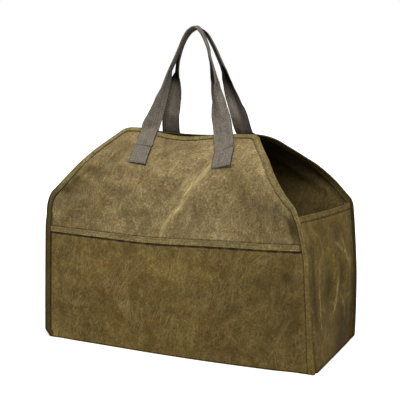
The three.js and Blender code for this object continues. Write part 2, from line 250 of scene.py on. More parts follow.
wallCut = {
    "floorHalfWidth": 290,
    "shoulderHalfWidth": {"front": 281, "back": 284},
    "seamBulge": {"front": 0, "back": 4},
    "shoulderLength": 281,  # along the cloth from the floor
    "topHalfWidth": {"front": 144, "back": 146},
    "slopeHollow": {"front": 8, "back": 9},  # the sloping edge is cut a little hollow
    "hollowAt": 0.4,  # share of the way up the slope
    "shoulderRounding": {"front": 22, "back": 9},
    "topCornerRounding": {"front": 12, "back": 38},
    "topSag": {"front": 20, "back": 22},  # dip of the top edge between the handles, along the cloth
    "topSagHalfSpan": {"front": 120, "back": 180},
    "topSagReach": 110,
    "cornerDrop": {"front": 8, "back": 6},  # of the right top corner, and where across it starts and is full
    "cornerDropX": (55, 115),
    "cornerLift": {"front": 2, "back": 0},  # of the left one
    "cornerLiftX": (70, 110),
    "footTuck": 11,  # the feet of the corner seams are turned in
    "footTuckLength": 16,
    "footTuckFrom": 0.92,  # shares of the half width
    "drawnFrom": 0.55,
    "swellFade": (0.72, 0.94),  # where a swell dies out
    "rimWidth": 22,  # finer columns along the edges
    "rimShare": 0.2,
    "columns": {"front": 200, "back": 140},
    "rows": {"front": 180, "back": 130},
    "rowShares": {"front": (0, 0.3, 0.43, 1), "back": (0, 1)},  # finer rows at the pocket's mouth
    "rowLengths": {"front": (0, 216, 244), "back": (0,)},
    "seed": {"front": 11, "back": 31},
    "patternStart": {"front": 0, "back": 2000},  # each piece is cut from its own stretch of canvas
    "flat": {"front": (0.58, 0.457), "back": (0.582, 0.48)},  # in metres
    "area": {"front": 0.231, "back": 0.246},
}
profileRows = named("height front back", [  # side view: where the middle of each wall stands
    (0.8, -119.5, 119.5),
    (70, -120.5, 120.5),
    (140, -121, 121),
    (210, -121, 121),
    (270, -120, 120),
    (318, -119, 117),
    (350, -109, 95),
    (373, -94, 65),
    (388, -80, 43),
    (400, -66, 24.5),
    (412, -51, 6),
    (424, -36, -12.5),
])
swellRows = named("x length spreadX spreadLength push", {
    "front": [
        (40, 0, 220, 150, 12),
        (-90, 120, 120, 80, 2.5),
        (120, 90, 90, 70, 3),
        (5, 385, 45, 60, -4),
        (-165, 350, 60, 45, 4),
        (170, 345, 60, 45, 4),
    ],
    "back": [
        (60, 130, 160, 90, 4),
        (15, 385, 45, 60, -4),
    ],
})
foldRows = named("spread push line", {  # long soft folds, each along a line of (x, length) on the cloth
    "front": [
        (11, -5, [(-245, 300), (-205, 327), (-150, 352), (-112, 395)]),
        (9, 3, [(-215, 312), (-185, 340), (-160, 365), (-140, 405)]),
        (6, 1.6, [(90, 385), (70, 345), (40, 300), (0, 262), (-22, 236)]),
        (12, -2, [(70, 375), (52, 340), (20, 298)]),
        (11, -7, [(248, 312), (258, 286), (258, 262), (252, 234)]),
        (14, 2, [(215, 330), (160, 375), (130, 415)]),
    ],
    "back": [
        (12, -3, [(235, 300), (180, 335), (120, 400)]),
        (13, 3, [(-225, 300), (-150, 350), (-95, 420)]),
        (16, 2, [(-180, 40), (-120, 140), (-60, 230)]),
        (16, -2, [(150, 60), (175, 160), (160, 250)]),
    ],
})
fineRows = named("push size stretch lean", {  # rolling hills, then sharper and smaller folds on them
    "wall": [(1.5, 85, 1, 0), (0.7, 46, 1, 0.4), (0.3, 21, 1, -0.6)],
    "pocket": [(1.1, 70, 0.6, 0), (0.5, 38, 0.5, 0), (0.25, 19, 1, 0.5)],
    "end": [(1.6, 42, 0.5, 0), (1.3, 27, 0.35, 0), (0.7, 14, 0.8, 0.3)],
})
drawnRows = {  # how far the right edge is drawn in, by the length along the cloth from the floor
    "front": [
        (0, -3), (50, 0), (130, 3), (205, 5), (240, 11), (262, 17),
        (280, 20), (302, 16), (330, 10), (357, 5), (385, 0),
    ],
    "back": [(0, 3), (140, 2.5), (215, 4), (281, 5), (330, 4), (400, 3), (480, 3)],
}
besideTape = {  # how the cloth swells and gathers along a taped edge, by the inset from that edge
    "puckerInset": 19,
    "puckerSpread": 8,
    "wallPucker": 0.6,
    "wallPuckerSize": 17,
    "wallRoll": 1.1,
    "wallRollInset": 21,
    "wallDent": 0.4,
    "wallDentInset": 12,
    "wallDentSpread": 4,
    "wallStart": (7, 14),
    "wallFoldStart": (12, 34),
    "pocketPucker": 0.5,
    "pocketPuckerSize": 16,
    "pocketRoll": 0.9,
    "pocketRollInset": 20,
    "pocketStart": (9, 15),
    "pocketFoldStart": (14, 50),
}
wallLines = {wall: smoothLine([(row[wall], row["height"]) for row in profileRows]) for wall in outward}
wallTop = {wall: wallLines[wall][1][-1] for wall in outward}
topWay = {wall: unit(wallLines[wall][0][-1] - wallLines[wall][0][-2]) for wall in outward}


def seamEdge(wall, length):
    share = length / wallCut["shoulderLength"]
    straight = between(wallCut["floorHalfWidth"], wallCut["shoulderHalfWidth"][wall], share)
    return straight + 4 * wallCut["seamBulge"][wall] * share * (1 - share)


def bend(start, middle, end):
    t = np.linspace(0, 1, 30)[:, None]
    return (1 - t) ** 2 * start + 2 * t * (1 - t) * middle + t**2 * end


def cutEdge(wall):  # half width and length up the edge, from the floor to the end of the top corner
    shoulder = np.array([wallCut["shoulderHalfWidth"][wall], wallCut["shoulderLength"]])
    rounding = wallCut["shoulderRounding"][wall]
    corner = np.array([wallCut["topHalfWidth"][wall], wallTop[wall]])
    topRounding = wallCut["topCornerRounding"][wall]
    slope = unit(corner - shoulder)
    upright = np.linspace(0, shoulder[1] - rounding, 100)
    upright = np.stack([seamEdge(wall, upright), upright], axis=-1)
    slopeStart = shoulder + slope * rounding
    slopeEnd = corner - slope * topRounding
    hollow = 2 * wallCut["slopeHollow"][wall] * np.array([-slope[1], slope[0]])
    shoulderBend = bend(upright[-1], shoulder, slopeStart)
    slopeBend = bend(slopeStart, between(slopeStart, slopeEnd, wallCut["hollowAt"]) + hollow, slopeEnd)
    topBend = bend(slopeEnd, corner, corner - [topRounding, 0])
    return measured(np.vstack([upright, shoulderBend[1:], slopeBend[1:], topBend[1:]]))


cutEdges = {wall: cutEdge(wall) for wall in outward}


def cutHalfWidth(wall, length):
    samples = cutEdges[wall][0]
    return np.interp(length, samples[:, 1], samples[:, 0])


def footTuck(length):
    return wallCut["footTuck"] * smoothFall(length, 0, wallCut["footTuckLength"])


def drawnIn(wall, x, length):  # where a place across the cut ends up
    share = np.abs(x) / cutHalfWidth(wall, length)
    right = np.interp(length, *zip(*drawnRows[wall])) * smoothStep(share, wallCut["drawnFrom"], 1) * (x > 0)
    tuck = footTuck(length) * smoothStep(share, wallCut["footTuckFrom"], 1)
    if wall == "front":  # its right corner is drawn out square
        tuck = tuck * (x < 0)
    return x - right - np.sign(x) * tuck


def wallSwell(wall, x, length):
    fade = smoothFall(np.abs(x) / wallCut["floorHalfWidth"], *wallCut["swellFade"])
    swell = 0
    for row in swellRows[wall]:
        swell = swell + row["push"] * fade * spot(row, x, length)
    return swell


def insetFromEdge(wall, x, length):  # how far a place is from the cut edge
    edge = np.vstack([cutEdges[wall][0][::3], [[0, wallTop[wall]]]])
    return nearLine(np.abs(x), length, edge)[0]


def fineFolds(piece, x, length, seed, relief=0, lift=0):
    first, *others = fineRows[piece]
    relief = relief + first["push"] * (lift + softNoise(x, first["stretch"] * length, first["size"], seed))
    for k, row in enumerate(others):
        leaning = x + row["lean"] * length
        relief = relief + row["push"] * crumple(leaning, row["stretch"] * length, row["size"], seed + 1 + k)
    return relief


def puckers(along, inset, size, seed):
    return softNoise(along, 0.3 * inset, size, seed) * hill(
        inset - besideTape["puckerInset"], besideTape["puckerSpread"]
    )


def wallRelief(wall, x, length):  # folds, crumples and puckers, out from the smooth wall
    inset = insetFromEdge(wall, x, length)
    free = smoothStep(inset, *besideTape["wallFoldStart"])
    under = smoothStep(inset, *besideTape["wallStart"])
    if wall == "front":  # the pocket lies close over the lower front
        free = free * smoothStep(length, pocket["length"] - 4, pocket["length"] + 22)
        under = under * smoothStep(length, pocket["length"] - 4, pocket["length"] + 12)
    relief = 0
    for row in foldRows[wall]:
        gap, share = nearLine(x, length, row["line"])
        relief = relief + row["push"] * hill(gap, row["spread"]) * np.sin(math.pi * share) ** 0.5
    seed = wallCut["seed"][wall]
    relief = fineFolds("wall", x, length, seed, relief)
    pucker = puckers(x + np.sign(x) * length, inset, besideTape["wallPuckerSize"], seed + 3)
    roll = besideTape["wallRoll"] * hill(inset - besideTape["wallRollInset"], besideTape["puckerSpread"])
    dent = besideTape["wallDent"] * hill(inset - besideTape["wallDentInset"], besideTape["wallDentSpread"])
    return relief * free + (besideTape["wallPucker"] * pucker + (roll - dent)) * under


def wallPlace(wall, x, length, relief=0.0):  # point of the cloth's middle, and the way out from it
    top = wallTop[wall]
    line = wallLines[wall]
    dip = wallCut["topSag"][wall] * np.clip(1 - (x / wallCut["topSagHalfSpan"][wall]) ** 2, 0, None) ** 2
    dip = dip + wallCut["cornerDrop"][wall] * smoothStep(x, *wallCut["cornerDropX"])
    dip = dip - wallCut["cornerLift"][wall] * smoothStep(-x, *wallCut["cornerLiftX"])
    sagged = length - dip * smoothStep(length, top - wallCut["topSagReach"], top)
    onLine = np.minimum(sagged, top - 1)
    profile = alongLine(line, sagged) + np.clip(sagged - top, 0, None)[..., None] * topWay[wall]
    along = unit(alongLine(line, onLine + 1) - alongLine(line, onLine - 1))
    sign = outward[wall]
    none = np.zeros(np.shape(profile[..., 0]))
    normal = np.stack([none, sign * along[..., 1], -sign * along[..., 0]], axis=-1)
    depth = profile[..., 0] + sign * (wallSwell(wall, x, length) - floorTuck(profile[..., 1]))
    point = np.stack([drawnIn(wall, x, length) + none, depth, profile[..., 1]], axis=-1)
    return point + normal * np.asarray(relief)[..., None], normal


# Wear, painted shade and highlights, and seams on the cloth

wear = {
    "wander": 2.2,  # a crease doesn't run quite straight
    "wanderSize": 14,
    "wanderSeed": 71,
    "creaseEnds": (0.06, 0.97),  # it tapers to both ends, and is broader at its start
    "creaseWidth": (1.1, 0.6),
    "patches": 0.3,  # the upper front is drawn paler and greyer, unevenly
    "patchSize": 120,
    "patchSeed": 72,
    "waxAndShadeKeeps": 0.8,
    "leftKeeps": 0.08,
    "leftX": (40, 200),
}
creaseRows = named("width pale line", {  # pale ridges where the wax has cracked, on the cut of each piece
    "front": [
        (8, 0.82, [
            (92, 402), (86, 392), (76, 366), (65, 344), (42, 324),
            (32, 304), (24, 284), (-9, 254), (-17, 227), (-24, 200),
        ]),
        (7, 0.42, [(60, 352), (38, 338), (24, 318), (2, 290)]),
        (5, 0.6, [(-204, 322), (-186, 336), (-168, 350)]),
        (3, 0.35, [(-236, 316), (-212, 330), (-180, 356)]),
        (4, 0.25, [(-243, 252), (-228, 268), (-205, 284)]),
        (4, 0.25, [(-140, 240), (-125, 247), (-104, 253)]),
        (4, 0.2, [(-26, 372), (-30, 350), (-34, 330)]),
    ],
    "pocket": [
        (3, 0.3, [(217, 148), (220, 122), (218, 96)]),
        (3.4, 0.3, [(161, 88), (160, 70), (158, 50)]),
        (3.6, 0.4, [(246, 94), (230, 64), (217, 40), (204, 6)]),
        (3, 0.25, [(259, 160), (260, 128)]),
        (4, 0.15, [(-84, 120), (-80, 90), (-92, 60)]),
    ],
    "end": [
        (4, 0.6, [(20, 165), (11, 126), (0, 95), (-14, 70)]),
        (4, 0.6, [(4, 226), (44, 206), (70, 192), (96, 146)]),
        (3.5, 0.5, [(52, 228), (66, 200), (78, 168)]),
        (4, 0.55, [(84, 104), (90, 70), (94, 38)]),
        (3, 0.5, [(-62, 190), (-66, 126), (-72, 60)]),
        (4, 0.4, [(-28, 60), (-36, 18)]),
        (4, 0.4, [(-50, 240), (-40, 200), (-46, 150)]),
        (3, 0.4, [(40, 120), (60, 88), (70, 50)]),
    ],
})
waxAndShadeRows = named("x length spreadX spreadLength dark", {  # dark places, partly painted shade in folds, valleys and hollows and partly wax that lies thick
    "front": [
        (268, 256, 14, 34, 0.85),
        (-236, 306, 24, 13, 0.75),
        (-205, 324, 24, 14, 0.6),
        (-170, 344, 34, 13, 0.5),
        (-138, 372, 22, 15, 0.35),
        (-30, 392, 16, 14, 0.35),
        (142, 336, 30, 24, 0.28),
        (-105, 394, 60, 20, 0.18),
        (-225, 285, 46, 40, 0.25),
        (232, 285, 44, 60, 0.3),
        (-5, 424, 70, 16, 0.2),
    ],
    "pocket": [
        (192, 158, 36, 20, 0.55),
        (242, 174, 18, 17, 0.8),
        (138, 105, 22, 18, 0.6),
        (212, 72, 20, 22, 0.55),
        (60, 130, 30, 22, 0.25),
        (-25, 206, 40, 14, 0.22),
        (176, 124, 30, 20, 0.45),
        (210, 100, 110, 130, 0.36),
    ],
    "end": [
        (60, 30, 70, 60, 0.5),
        (-16, 140, 16, 36, 0.6),
        (-90, 150, 14, 110, 0.45),
        (50, 150, 18, 30, 0.5),
        (104, 110, 9, 130, 0.5),
        (20, 236, 50, 16, 0.35),
    ],
})
seam = {  # painted shade along the tapes' inner edges, and a painted highlight on the roll of cloth beside them
    "tapeCover": 11.2,  # how far a tape reaches in from the edge of the cloth
    "lineHalf": 0.4,
    "lineFade": 1.9,
    "lineSize": 16,  # of the stretches where it comes and goes
    "rollInset": 4.6,
    "rollSpread": 1.7,
    "rollHighlight": 0.3,
    "rollSize": 22,
    "shoulder": (280, 320),  # past the shoulder a wall's line is weaker
    "shoulderLoss": 0.35,
    "rightLoss": 0.2,
    "mouthShade": (1.2, 3.4),  # painted shade on the wall, over the pocket's mouth
    "mouthSize": 30,
    "floorLine": (0.6, 4),
    "floorDark": 0.8,
    "seed": 73,
}
gloom = {  # painted shade inside, between the walls and up at their edges
    "low": 0.54,
    "rise": 0.36,
    "riseLength": (325, 430),
    "rightLight": 0.13,  # more light falls on the back wall towards its right end
    "rightX": (170, 270),
    "end": 0.3,
}
tapeFold = {  # the front's tape is folded narrower on the right and wider low on the left
    "narrower": 0.42,
    "narrowest": {"length": 268, "spread": 42},
    "narrowing": (-30, 130),
    "wider": 0.14,
    "lowEnd": (240, 290),
}


def clothMarks(piece, x, length):
    crease = np.zeros(x.shape)
    smudge = np.zeros(x.shape)
    fade = np.zeros(x.shape)
    wander = wear["wander"] * softNoise(x, length, wear["wanderSize"], wear["wanderSeed"])
    broad, thin = wear["creaseWidth"]
    for row in creaseRows.get(piece, []):
        gap, share = nearLine(x + wander, length, row["line"])
        taper = np.sin(math.pi * np.clip(share, *wear["creaseEnds"])) ** 0.6
        spread = row["width"] * between(broad, thin, share)
        crease = np.maximum(crease, row["pale"] * hill(gap, spread) * taper)
    for row in waxAndShadeRows.get(piece, []):
        smudge = np.maximum(smudge, row["dark"] * spot(row, x, length))
    if piece == "front":
        fade = 1 + wear["patches"] * softNoise(x, length, wear["patchSize"], wear["patchSeed"])
        fade = fade * (1 - wear["waxAndShadeKeeps"] * smudge)
        fade = fade * (1 - wear["leftKeeps"] * smoothStep(-x, *wear["leftX"]))
    return {"crease": crease, "smudge": smudge, "fade": fade}


def seamLine(inset, along, seed, half=seam["lineHalf"]):  # a line of painted shade; it comes and goes along the seam
    off = np.abs(inset - seam["tapeCover"] - half)
    strength = np.clip(0.7 + 0.4 * lineNoise(along, seam["lineSize"], seed), 0.35, 1)
    return strength * smoothFall(off, half, half + seam["lineFade"])


# a painted highlight on the roll of cloth beside a tape
def seamRollHighlight(inset, along, seed):
    strength = np.clip(0.5 + 0.7 * lineNoise(along, seam["rollSize"], seed + 5), 0, 1)
    off = inset - seam["tapeCover"] - seam["rollInset"]
    return seam["rollHighlight"] * strength * hill(off, seam["rollSpread"])


def tapeShare(x, length):
    low = smoothFall(length, *tapeFold["lowEnd"])
    narrowest = tapeFold["narrowest"]
    near = hill(length - narrowest["length"], narrowest["spread"])
    narrow = tapeFold["narrower"] * np.maximum(near, low * smoothStep(length, *tapeFold["narrowing"]))
    return 1 - narrow * (x > 0) + tapeFold["wider"] * low * (x < 0)


def uncovered(share):  # what a narrower tape leaves free
    return seam["tapeCover"] * (1 - share)


def floorShade(length):
    return seam["floorDark"] * smoothFall(length, *seam["floorLine"])


def patchFoot(x, length):  # shade under the handles' patches
    shade = np.zeros(x.shape)
    half = handle["width"] / 2
    rows = handleRows["front"]
    for (middle, *_), (skew, _) in zip(rows["sewnX"], rows["skew"]):
        under = wallTop["front"] - handle["patchBottom"] + skew * (x - middle) - length
        across = smoothFall(np.abs(x - middle - 1), half - 1, half + 2)
        shade = np.maximum(shade, across * band(under, -2, 0.5, 1.2, 4.2))
    return shade


def columnX(u, halfWidth):  # across a piece, with finer columns along both edges
    share = np.abs(2 * u - 1)
    start = 1 - wallCut["rimShare"]
    middle = (halfWidth - wallCut["rimWidth"]) * np.clip(share / start, 0, 1)
    rim = wallCut["rimWidth"] * np.clip((share - start) / wallCut["rimShare"], 0, 1)
    return np.sign(2 * u - 1) * (middle + rim)


def wallPiece(wall):
    edge = cutEdges[wall]
    distances = (*wallCut["rowLengths"][wall], edge[1][-1])
    seed = seam["seed"]

    def place(u, v):
        halfWidth, length = alongLine(edge, np.interp(v, wallCut["rowShares"][wall], distances)).T
        x = columnX(u, halfWidth)
        points = wallPlace(wall, x, length, wallRelief(wall, x, length))[0]
        cut = np.stack([x, length + wallCut["patternStart"][wall]], axis=-1)
        marks = clothMarks(wall, x, length)
        inset = insetFromEdge(wall, x, length)
        if wall == "front":
            inset = inset + uncovered(tapeShare(x, length))
        along = length + 0.7 * x
        # painted shade along the tape's inner edge, over the pocket's mouth and under the patches
        groove = seamLine(inset, along, seed)
        groove = groove * (1 - seam["shoulderLoss"] * smoothStep(length, *seam["shoulder"]))
        groove = groove * (1 - seam["rightLoss"] * (x > 0))
        # the crease mark also carries the painted highlight on the roll beside the tape
        marks["crease"] = most(marks["crease"], seamRollHighlight(inset, along, seed + 1))
        # painted shade inside, deeper towards the top
        dark = gloom["low"] + gloom["rise"] * smoothStep(length, *gloom["riseLength"])
        if wall == "front":
            shade = smoothFall(length - mouthLength(x), *seam["mouthShade"])
            shade = shade * np.clip(0.6 + 0.4 * lineNoise(x, seam["mouthSize"], seed + 2), 0.25, 1)
            groove = most(groove, shade, patchFoot(x, length))
        else:
            dark = dark - gloom["rightLight"] * smoothStep(x, *gloom["rightX"])
        marks.update({"groove": groove, "gloom": dark})
        return points, cut, marks

    return clothPiece(wall + "Wall", wallCut["columns"][wall], wallCut["rows"][wall], place)


# Front pocket

pocket = {
    "length": 230.5,
    "tilt": 1.5,  # the mouth stands higher at its right end
    "sag": 4.2,  # and hangs lower between its ends, most of all left of the middle
    "leftSag": {"x": -40, "spread": 110, "drop": 4},
    "step": 3.2,  # ahead of the wall, with room for the mouth's tape
    "fade": 26,  # along the seam, where the tape closes on the wall again
    "belly": 3,
    "edgeInset": 1.2,
    "calmFloor": (4, 40),  # folds die out towards the floor, and some of them towards the mouth
    "calmMouth": 40,
    "calmShare": 0.6,
    "columns": 190,
    "rows": 84,
    "rowShares": (0, 0.05, 0.74, 1),  # finer rows at the floor and under the mouth's tape
    "rowLengths": (0, 5, 208.5, 230.5),
    "seed": 51,
    "patternStart": 1000,
    "mouthEnds": (0.055, 0.958),  # where the mouth's tape starts and ends, between the corner tapes
    "mouthSamples": 222,
    "tapeShare": 0.88,
    "tapeFade": 1.1,
    "leftLine": 0.6,  # the seam's painted shade line is broader on the left and weaker on the right
    "rightLoss": 0.5,
    "mouthLineHalf": 1.4,
    "mouthLineMost": 0.92,
}


def mouthLength(x):
    share = x / wallCut["floorHalfWidth"]
    left = pocket["leftSag"]
    sag = pocket["sag"] * (1 - share**4) + left["drop"] * hill(x - left["x"], left["spread"])
    return pocket["length"] + pocket["tilt"] * share - sag


def pocketPlace(u, v):
    full = pocket["length"]
    v = np.interp(v, pocket["rowShares"], pocket["rowLengths"]) / full
    edge = seamEdge("front", full * v) - pocket["edgeInset"]
    x = columnX(u, edge)
    length = mouthLength(x) * v
    inset = edge - np.abs(x)
    seed = pocket["seed"]
    middle = smoothFall(np.abs(x / edge), *wallCut["swellFade"])
    relief = pocket["step"] + pocket["belly"] * middle * np.sin(math.pi * v)
    calm = 1 - pocket["calmShare"] * smoothStep(length, full - pocket["calmMouth"], full)
    calm = smoothStep(length, *pocket["calmFloor"]) * calm
    free = smoothStep(inset, *besideTape["pocketFoldStart"])
    relief = relief + free * calm * fineFolds("pocket", x, length, seed, lift=1)
    gathers = besideTape["pocketPucker"] * puckers(length, inset, besideTape["pocketPuckerSize"], seed + 3)
    roll = besideTape["pocketRoll"] * hill(inset - besideTape["pocketRollInset"], besideTape["puckerSpread"])
    relief = relief + smoothStep(inset, *besideTape["pocketStart"]) * (gathers + roll)
    points = wallPlace("front", x, length, relief)[0]
    cut = np.stack([x, length + pocket["patternStart"]], axis=-1)
    marks = clothMarks("pocket", x, length)
    # painted shade under the mouth's tape, beside the corner tapes and at the floor
    underMouth = (1 - v) * mouthLength(x) + 1.1 * lineNoise(x, 7, seed + 4) + 1.3
    underTape = inset + pocket["edgeInset"] + uncovered(tapeShare(x, length))
    sideLines = seamLine(underTape, length, seed + 5, seam["lineHalf"] + pocket["leftLine"] * (x < 0))
    sideLines = sideLines * (1 - pocket["rightLoss"] * (x > 0))
    mouthLine = 1.2 * seamLine(underMouth, x, seed + 6, pocket["mouthLineHalf"])
    mouthLine = np.clip(mouthLine, 0, pocket["mouthLineMost"])
    # painted highlights on the rolls beside the tapes
    rollHighlights = (seamRollHighlight(underTape, length, seed + 7), seamRollHighlight(underMouth, x, seed + 8))
    marks["crease"] = most(marks["crease"], *rollHighlights)
    marks["groove"] = most(mouthLine, sideLines, floorShade(length))
    return points, cut, marks


# End walls

endCut = {
    "length": 279,
    "sag": 2,
    "cornerRadius": 3,
    "belly": 2,
    "fullness": (11, 12),  # how far it stands out beside the front seam and the back one
    "footSpread": (8, -6),  # and how much further at the floor
    "footEnd": (0.05, 0.5),  # share of the height
    "flangeInset": 1.2,
    "seamAllowance": 15.6,
    "depth": 230,  # of the plain wall between its corners, for laying out the cut
    "frontTurn": 0.03,  # share of the depth in which it turns out of a corner
    "backTurn": 0.022,
    "columns": 110,
    "rows": 100,
    "rowShares": (0, 0.05, 0.78, 1),
    "rowLengths": (0, 5, 257, 279),
    "seed": {-1: 66, 1: 61},  # of the left one and the right one
    "lineSeed": 64,
    "patternStart": (3000, 600),
    "tapeShare": 0.8,  # its tape is folded narrower
    "tapeFade": 0.35,
    "tapeSamples": 100,
    "creases": 1.2,  # it is creased more than the front, has more thick wax and painted shade, and is drawn darker and browner all over
    "waxAndShades": 1.3,
    "leastWaxAndShade": 0.06,
    "wax": 0.12,
    "backCorner": 0.75,  # painted shade in the corners
    "frontCorner": 0.5,
}
endFoldRows = named("share spread push", [
    (0.14, 0.05, -3),
    (0.4, 0.07, -5),
    (0.56, 0.06, 3.5),
    (0.72, 0.05, -5),
    (0.86, 0.05, 2.5),
])
endCorner = endCut["cornerRadius"] * math.pi / 2
endFlange = endCut["seamAllowance"] - endCut["flangeInset"] - endCut["cornerRadius"]
endWidth = endCut["depth"] + 2 * (endFlange + endCorner)


def endSeam(wall, side, length, distance):  # flange behind the wall's edge, then the corner
    profile = alongLine(wallLines[wall], length)
    edge = np.abs(drawnIn(wall, side * cutHalfWidth(wall, length), length))
    radius = endCut["cornerRadius"]
    angle = np.clip((distance - endFlange) / radius, 0, math.pi / 2)
    x = edge - endCut["flangeInset"] - np.clip(distance, 0, endFlange) - radius * np.sin(angle)
    y = profile[..., 0] - outward[wall] * (layers["seamStep"] + radius * (1 - np.cos(angle)))
    return np.stack([x, y, profile[..., 1]], axis=-1)


def endPlace(side, u, v):
    length = endCut["length"] * v
    distance = u * endWidth
    front = endSeam("front", side, length, distance)
    back = endSeam("back", side, length, endWidth - distance)
    share = np.clip((distance - endFlange - endCorner) / endCut["depth"], 0, 1)
    point = front + (back - front) * share[..., None]
    swell = np.sin(math.pi * share)
    folds = endCut["belly"]
    for row in endFoldRows:
        folds = folds + row["push"] * hill(share - row["share"], row["spread"])
    fine = fineFolds("end", distance, length, endCut["seed"][side])
    out = swell * np.sin(math.pi * v) * folds + fine * swell**0.5 * np.sin(math.pi * v) ** 0.5
    foot = between(*endCut["footSpread"], share)
    full = between(*endCut["fullness"], share) + foot * smoothFall(v, *endCut["footEnd"])
    full = full + footTuck(length) * (1 if side < 0 else share)  # only the seams are tucked in, not the wall
    turned = smoothStep(share, 0, endCut["frontTurn"]) * smoothStep(1 - share, 0, endCut["backTurn"])
    out = out + full * turned
    x = side * (point[..., 0] + out - floorTuck(point[..., 2]) * (swell > 0))
    z = point[..., 2] - endCut["sag"] * swell * v
    return np.stack([x, point[..., 1], z], axis=-1)


def endPiece(side, name):
    def place(u, v):
        v = np.interp(v, endCut["rowShares"], endCut["rowLengths"]) / endCut["length"]
        length = v * endCut["length"]
        distance = u * endWidth
        seed = endCut["lineSeed"]
        startX, startLength = endCut["patternStart"]
        cut = np.stack([distance + startX, length + startLength * side], axis=-1)
        marks = clothMarks("end", (u - 0.5) * endWidth, length)
        underTape = endCut["length"] - length + 0.6 * lineNoise(distance, 7, seed)
        underTape = underTape + uncovered(endCut["tapeShare"])
        fromBack = (1 - u) * endWidth - endFlange - endCorner
        fromFront = distance - endFlange - endCorner
        # painted shade under the tape, at the floor and in the corners
        marks["groove"] = most(
            seamLine(underTape, distance, seed + 1),
            floorShade(0.4 * length),
            endCut["backCorner"] * hill(fromBack - 1, 2.4),
            endCut["frontCorner"] * smoothFall(fromFront, 5, 10),
        )
        # the crease mark also carries the painted highlight on the roll beside the tape
        marks["crease"] = most(endCut["creases"] * marks["crease"], seamRollHighlight(underTape, distance, seed + 2))
        # more thick wax and painted shade, and a little painted darkness everywhere
        marks["smudge"] = np.maximum(endCut["waxAndShades"] * marks["smudge"], endCut["leastWaxAndShade"])
        marks["fade"] = marks["fade"] - endCut["wax"]
        # painted shade inside
        marks["gloom"] = gloom["end"] + 0 * length
        return endPlace(side, u, v), cut, marks

    return clothPiece(name, endCut["columns"], endCut["rows"], place)


# Base

baseCut = {
    "halfDepth": 118,
    "cornerEase": 1.006,  # it stays a little clear of the end walls' corners
    "lap": 0.1,  # its raised edge reaches this far over the middle of the walls' tucked feet
    "edgeLift": 1.9,
    "edgeReach": (1.5, 9),
    "middle": 0.7,
    "wave": 0.8,
    "waveSize": 60,
    "waveReach": (8, 40),
    "seed": 81,
    "patternStart": 5000,
    "columns": 64,
    "rows": 44,
}


def basePlace(u, v):  # it reaches out to the feet of the walls
    deep = (1 - np.cos(math.pi * v)) / 2  # finer rows along the front and the back
    share = 0.5 + baseCut["cornerEase"] * (2 * deep - 1) * baseCut["halfDepth"] / endCut["depth"]
    across = (endFlange + endCorner + endCut["depth"] * np.clip(share, 0, 1)) / endWidth
    left = endPlace(-1, across, 0 * v)[..., 0] - baseCut["lap"]
    right = endPlace(1, across, 0 * v)[..., 0] + baseCut["lap"]
    x = left + (right - left) * u
    front = wallPlace("front", x, 0 * x)[0][..., 1] - baseCut["lap"]
    back = wallPlace("back", x, 0 * x, wallRelief("back", x, 0 * x))[0][..., 1] + baseCut["lap"]
    y = front + (back - front) * deep
    inset = np.minimum.reduce([x - left, right - x, y - front, back - y])
    z = baseCut["middle"] + baseCut["edgeLift"] * smoothFall(inset, *baseCut["edgeReach"])
    wave = baseCut["wave"] + baseCut["wave"] * softNoise(x, y, baseCut["waveSize"], baseCut["seed"])
    z = z + smoothStep(inset, *baseCut["waveReach"]) * wave
    cut = np.stack([x + baseCut["patternStart"], y], axis=-1)
    return np.stack([x, y, z], axis=-1), cut, clothMarks("base", x, y)


# Tapes folded over edges

tape = {
    "flatWidth": 25,
    "width": 12,  # from the fold to the inner edge
    "step": 2.4,  # between stations along it
    "legShares": (0, 0.05, 0.11, 0.2, 0.32, 0.46, 0.6, 0.74, 0.87),  # from the inner edge to the fold
    "darkTo": 0.09,  # share of the leg that is shaded at its inner edge
    "darkFold": (0.3, 0.7),  # how much of the fold's shade the last two rows of a leg have
    "outerDark": 0.3,  # share of the painted shade that is kept on the outer leg of the back's tape
    "foldDivisions": 5,
    "foldRadius": 1.9,
    "edgeWave": 0.45,  # the inner edge isn't cut or folded quite straight
    "waveSize": 9,
    "edgeLift": 0.35,
    "puff": 0.25,  # between the stitches and the fold
    "stitchInset": 2.4,
    "stitchPitch": 4.6,
    "floorGap": 0.55,
    "upright": (275, 330),  # where the corner seams end and the slopes start
    "frontFade": (220, 290),
    "patternStep": 40,
    "seed": {"front": 101, "back": 111, "pocket": 121, "end": 131},
}


# dark and foldDark are painted shade, over the tape and on its fold
def tapeLook(count, fade, dark=0.0, foldDark=0.25, share=1.0, innerLegOnly=False):
    look = {"fade": fade, "dark": dark, "foldDark": foldDark, "share": share}
    look = {key: np.broadcast_to(value, count) for key, value in look.items()}
    look["innerLegOnly"] = innerLegOnly
    return look


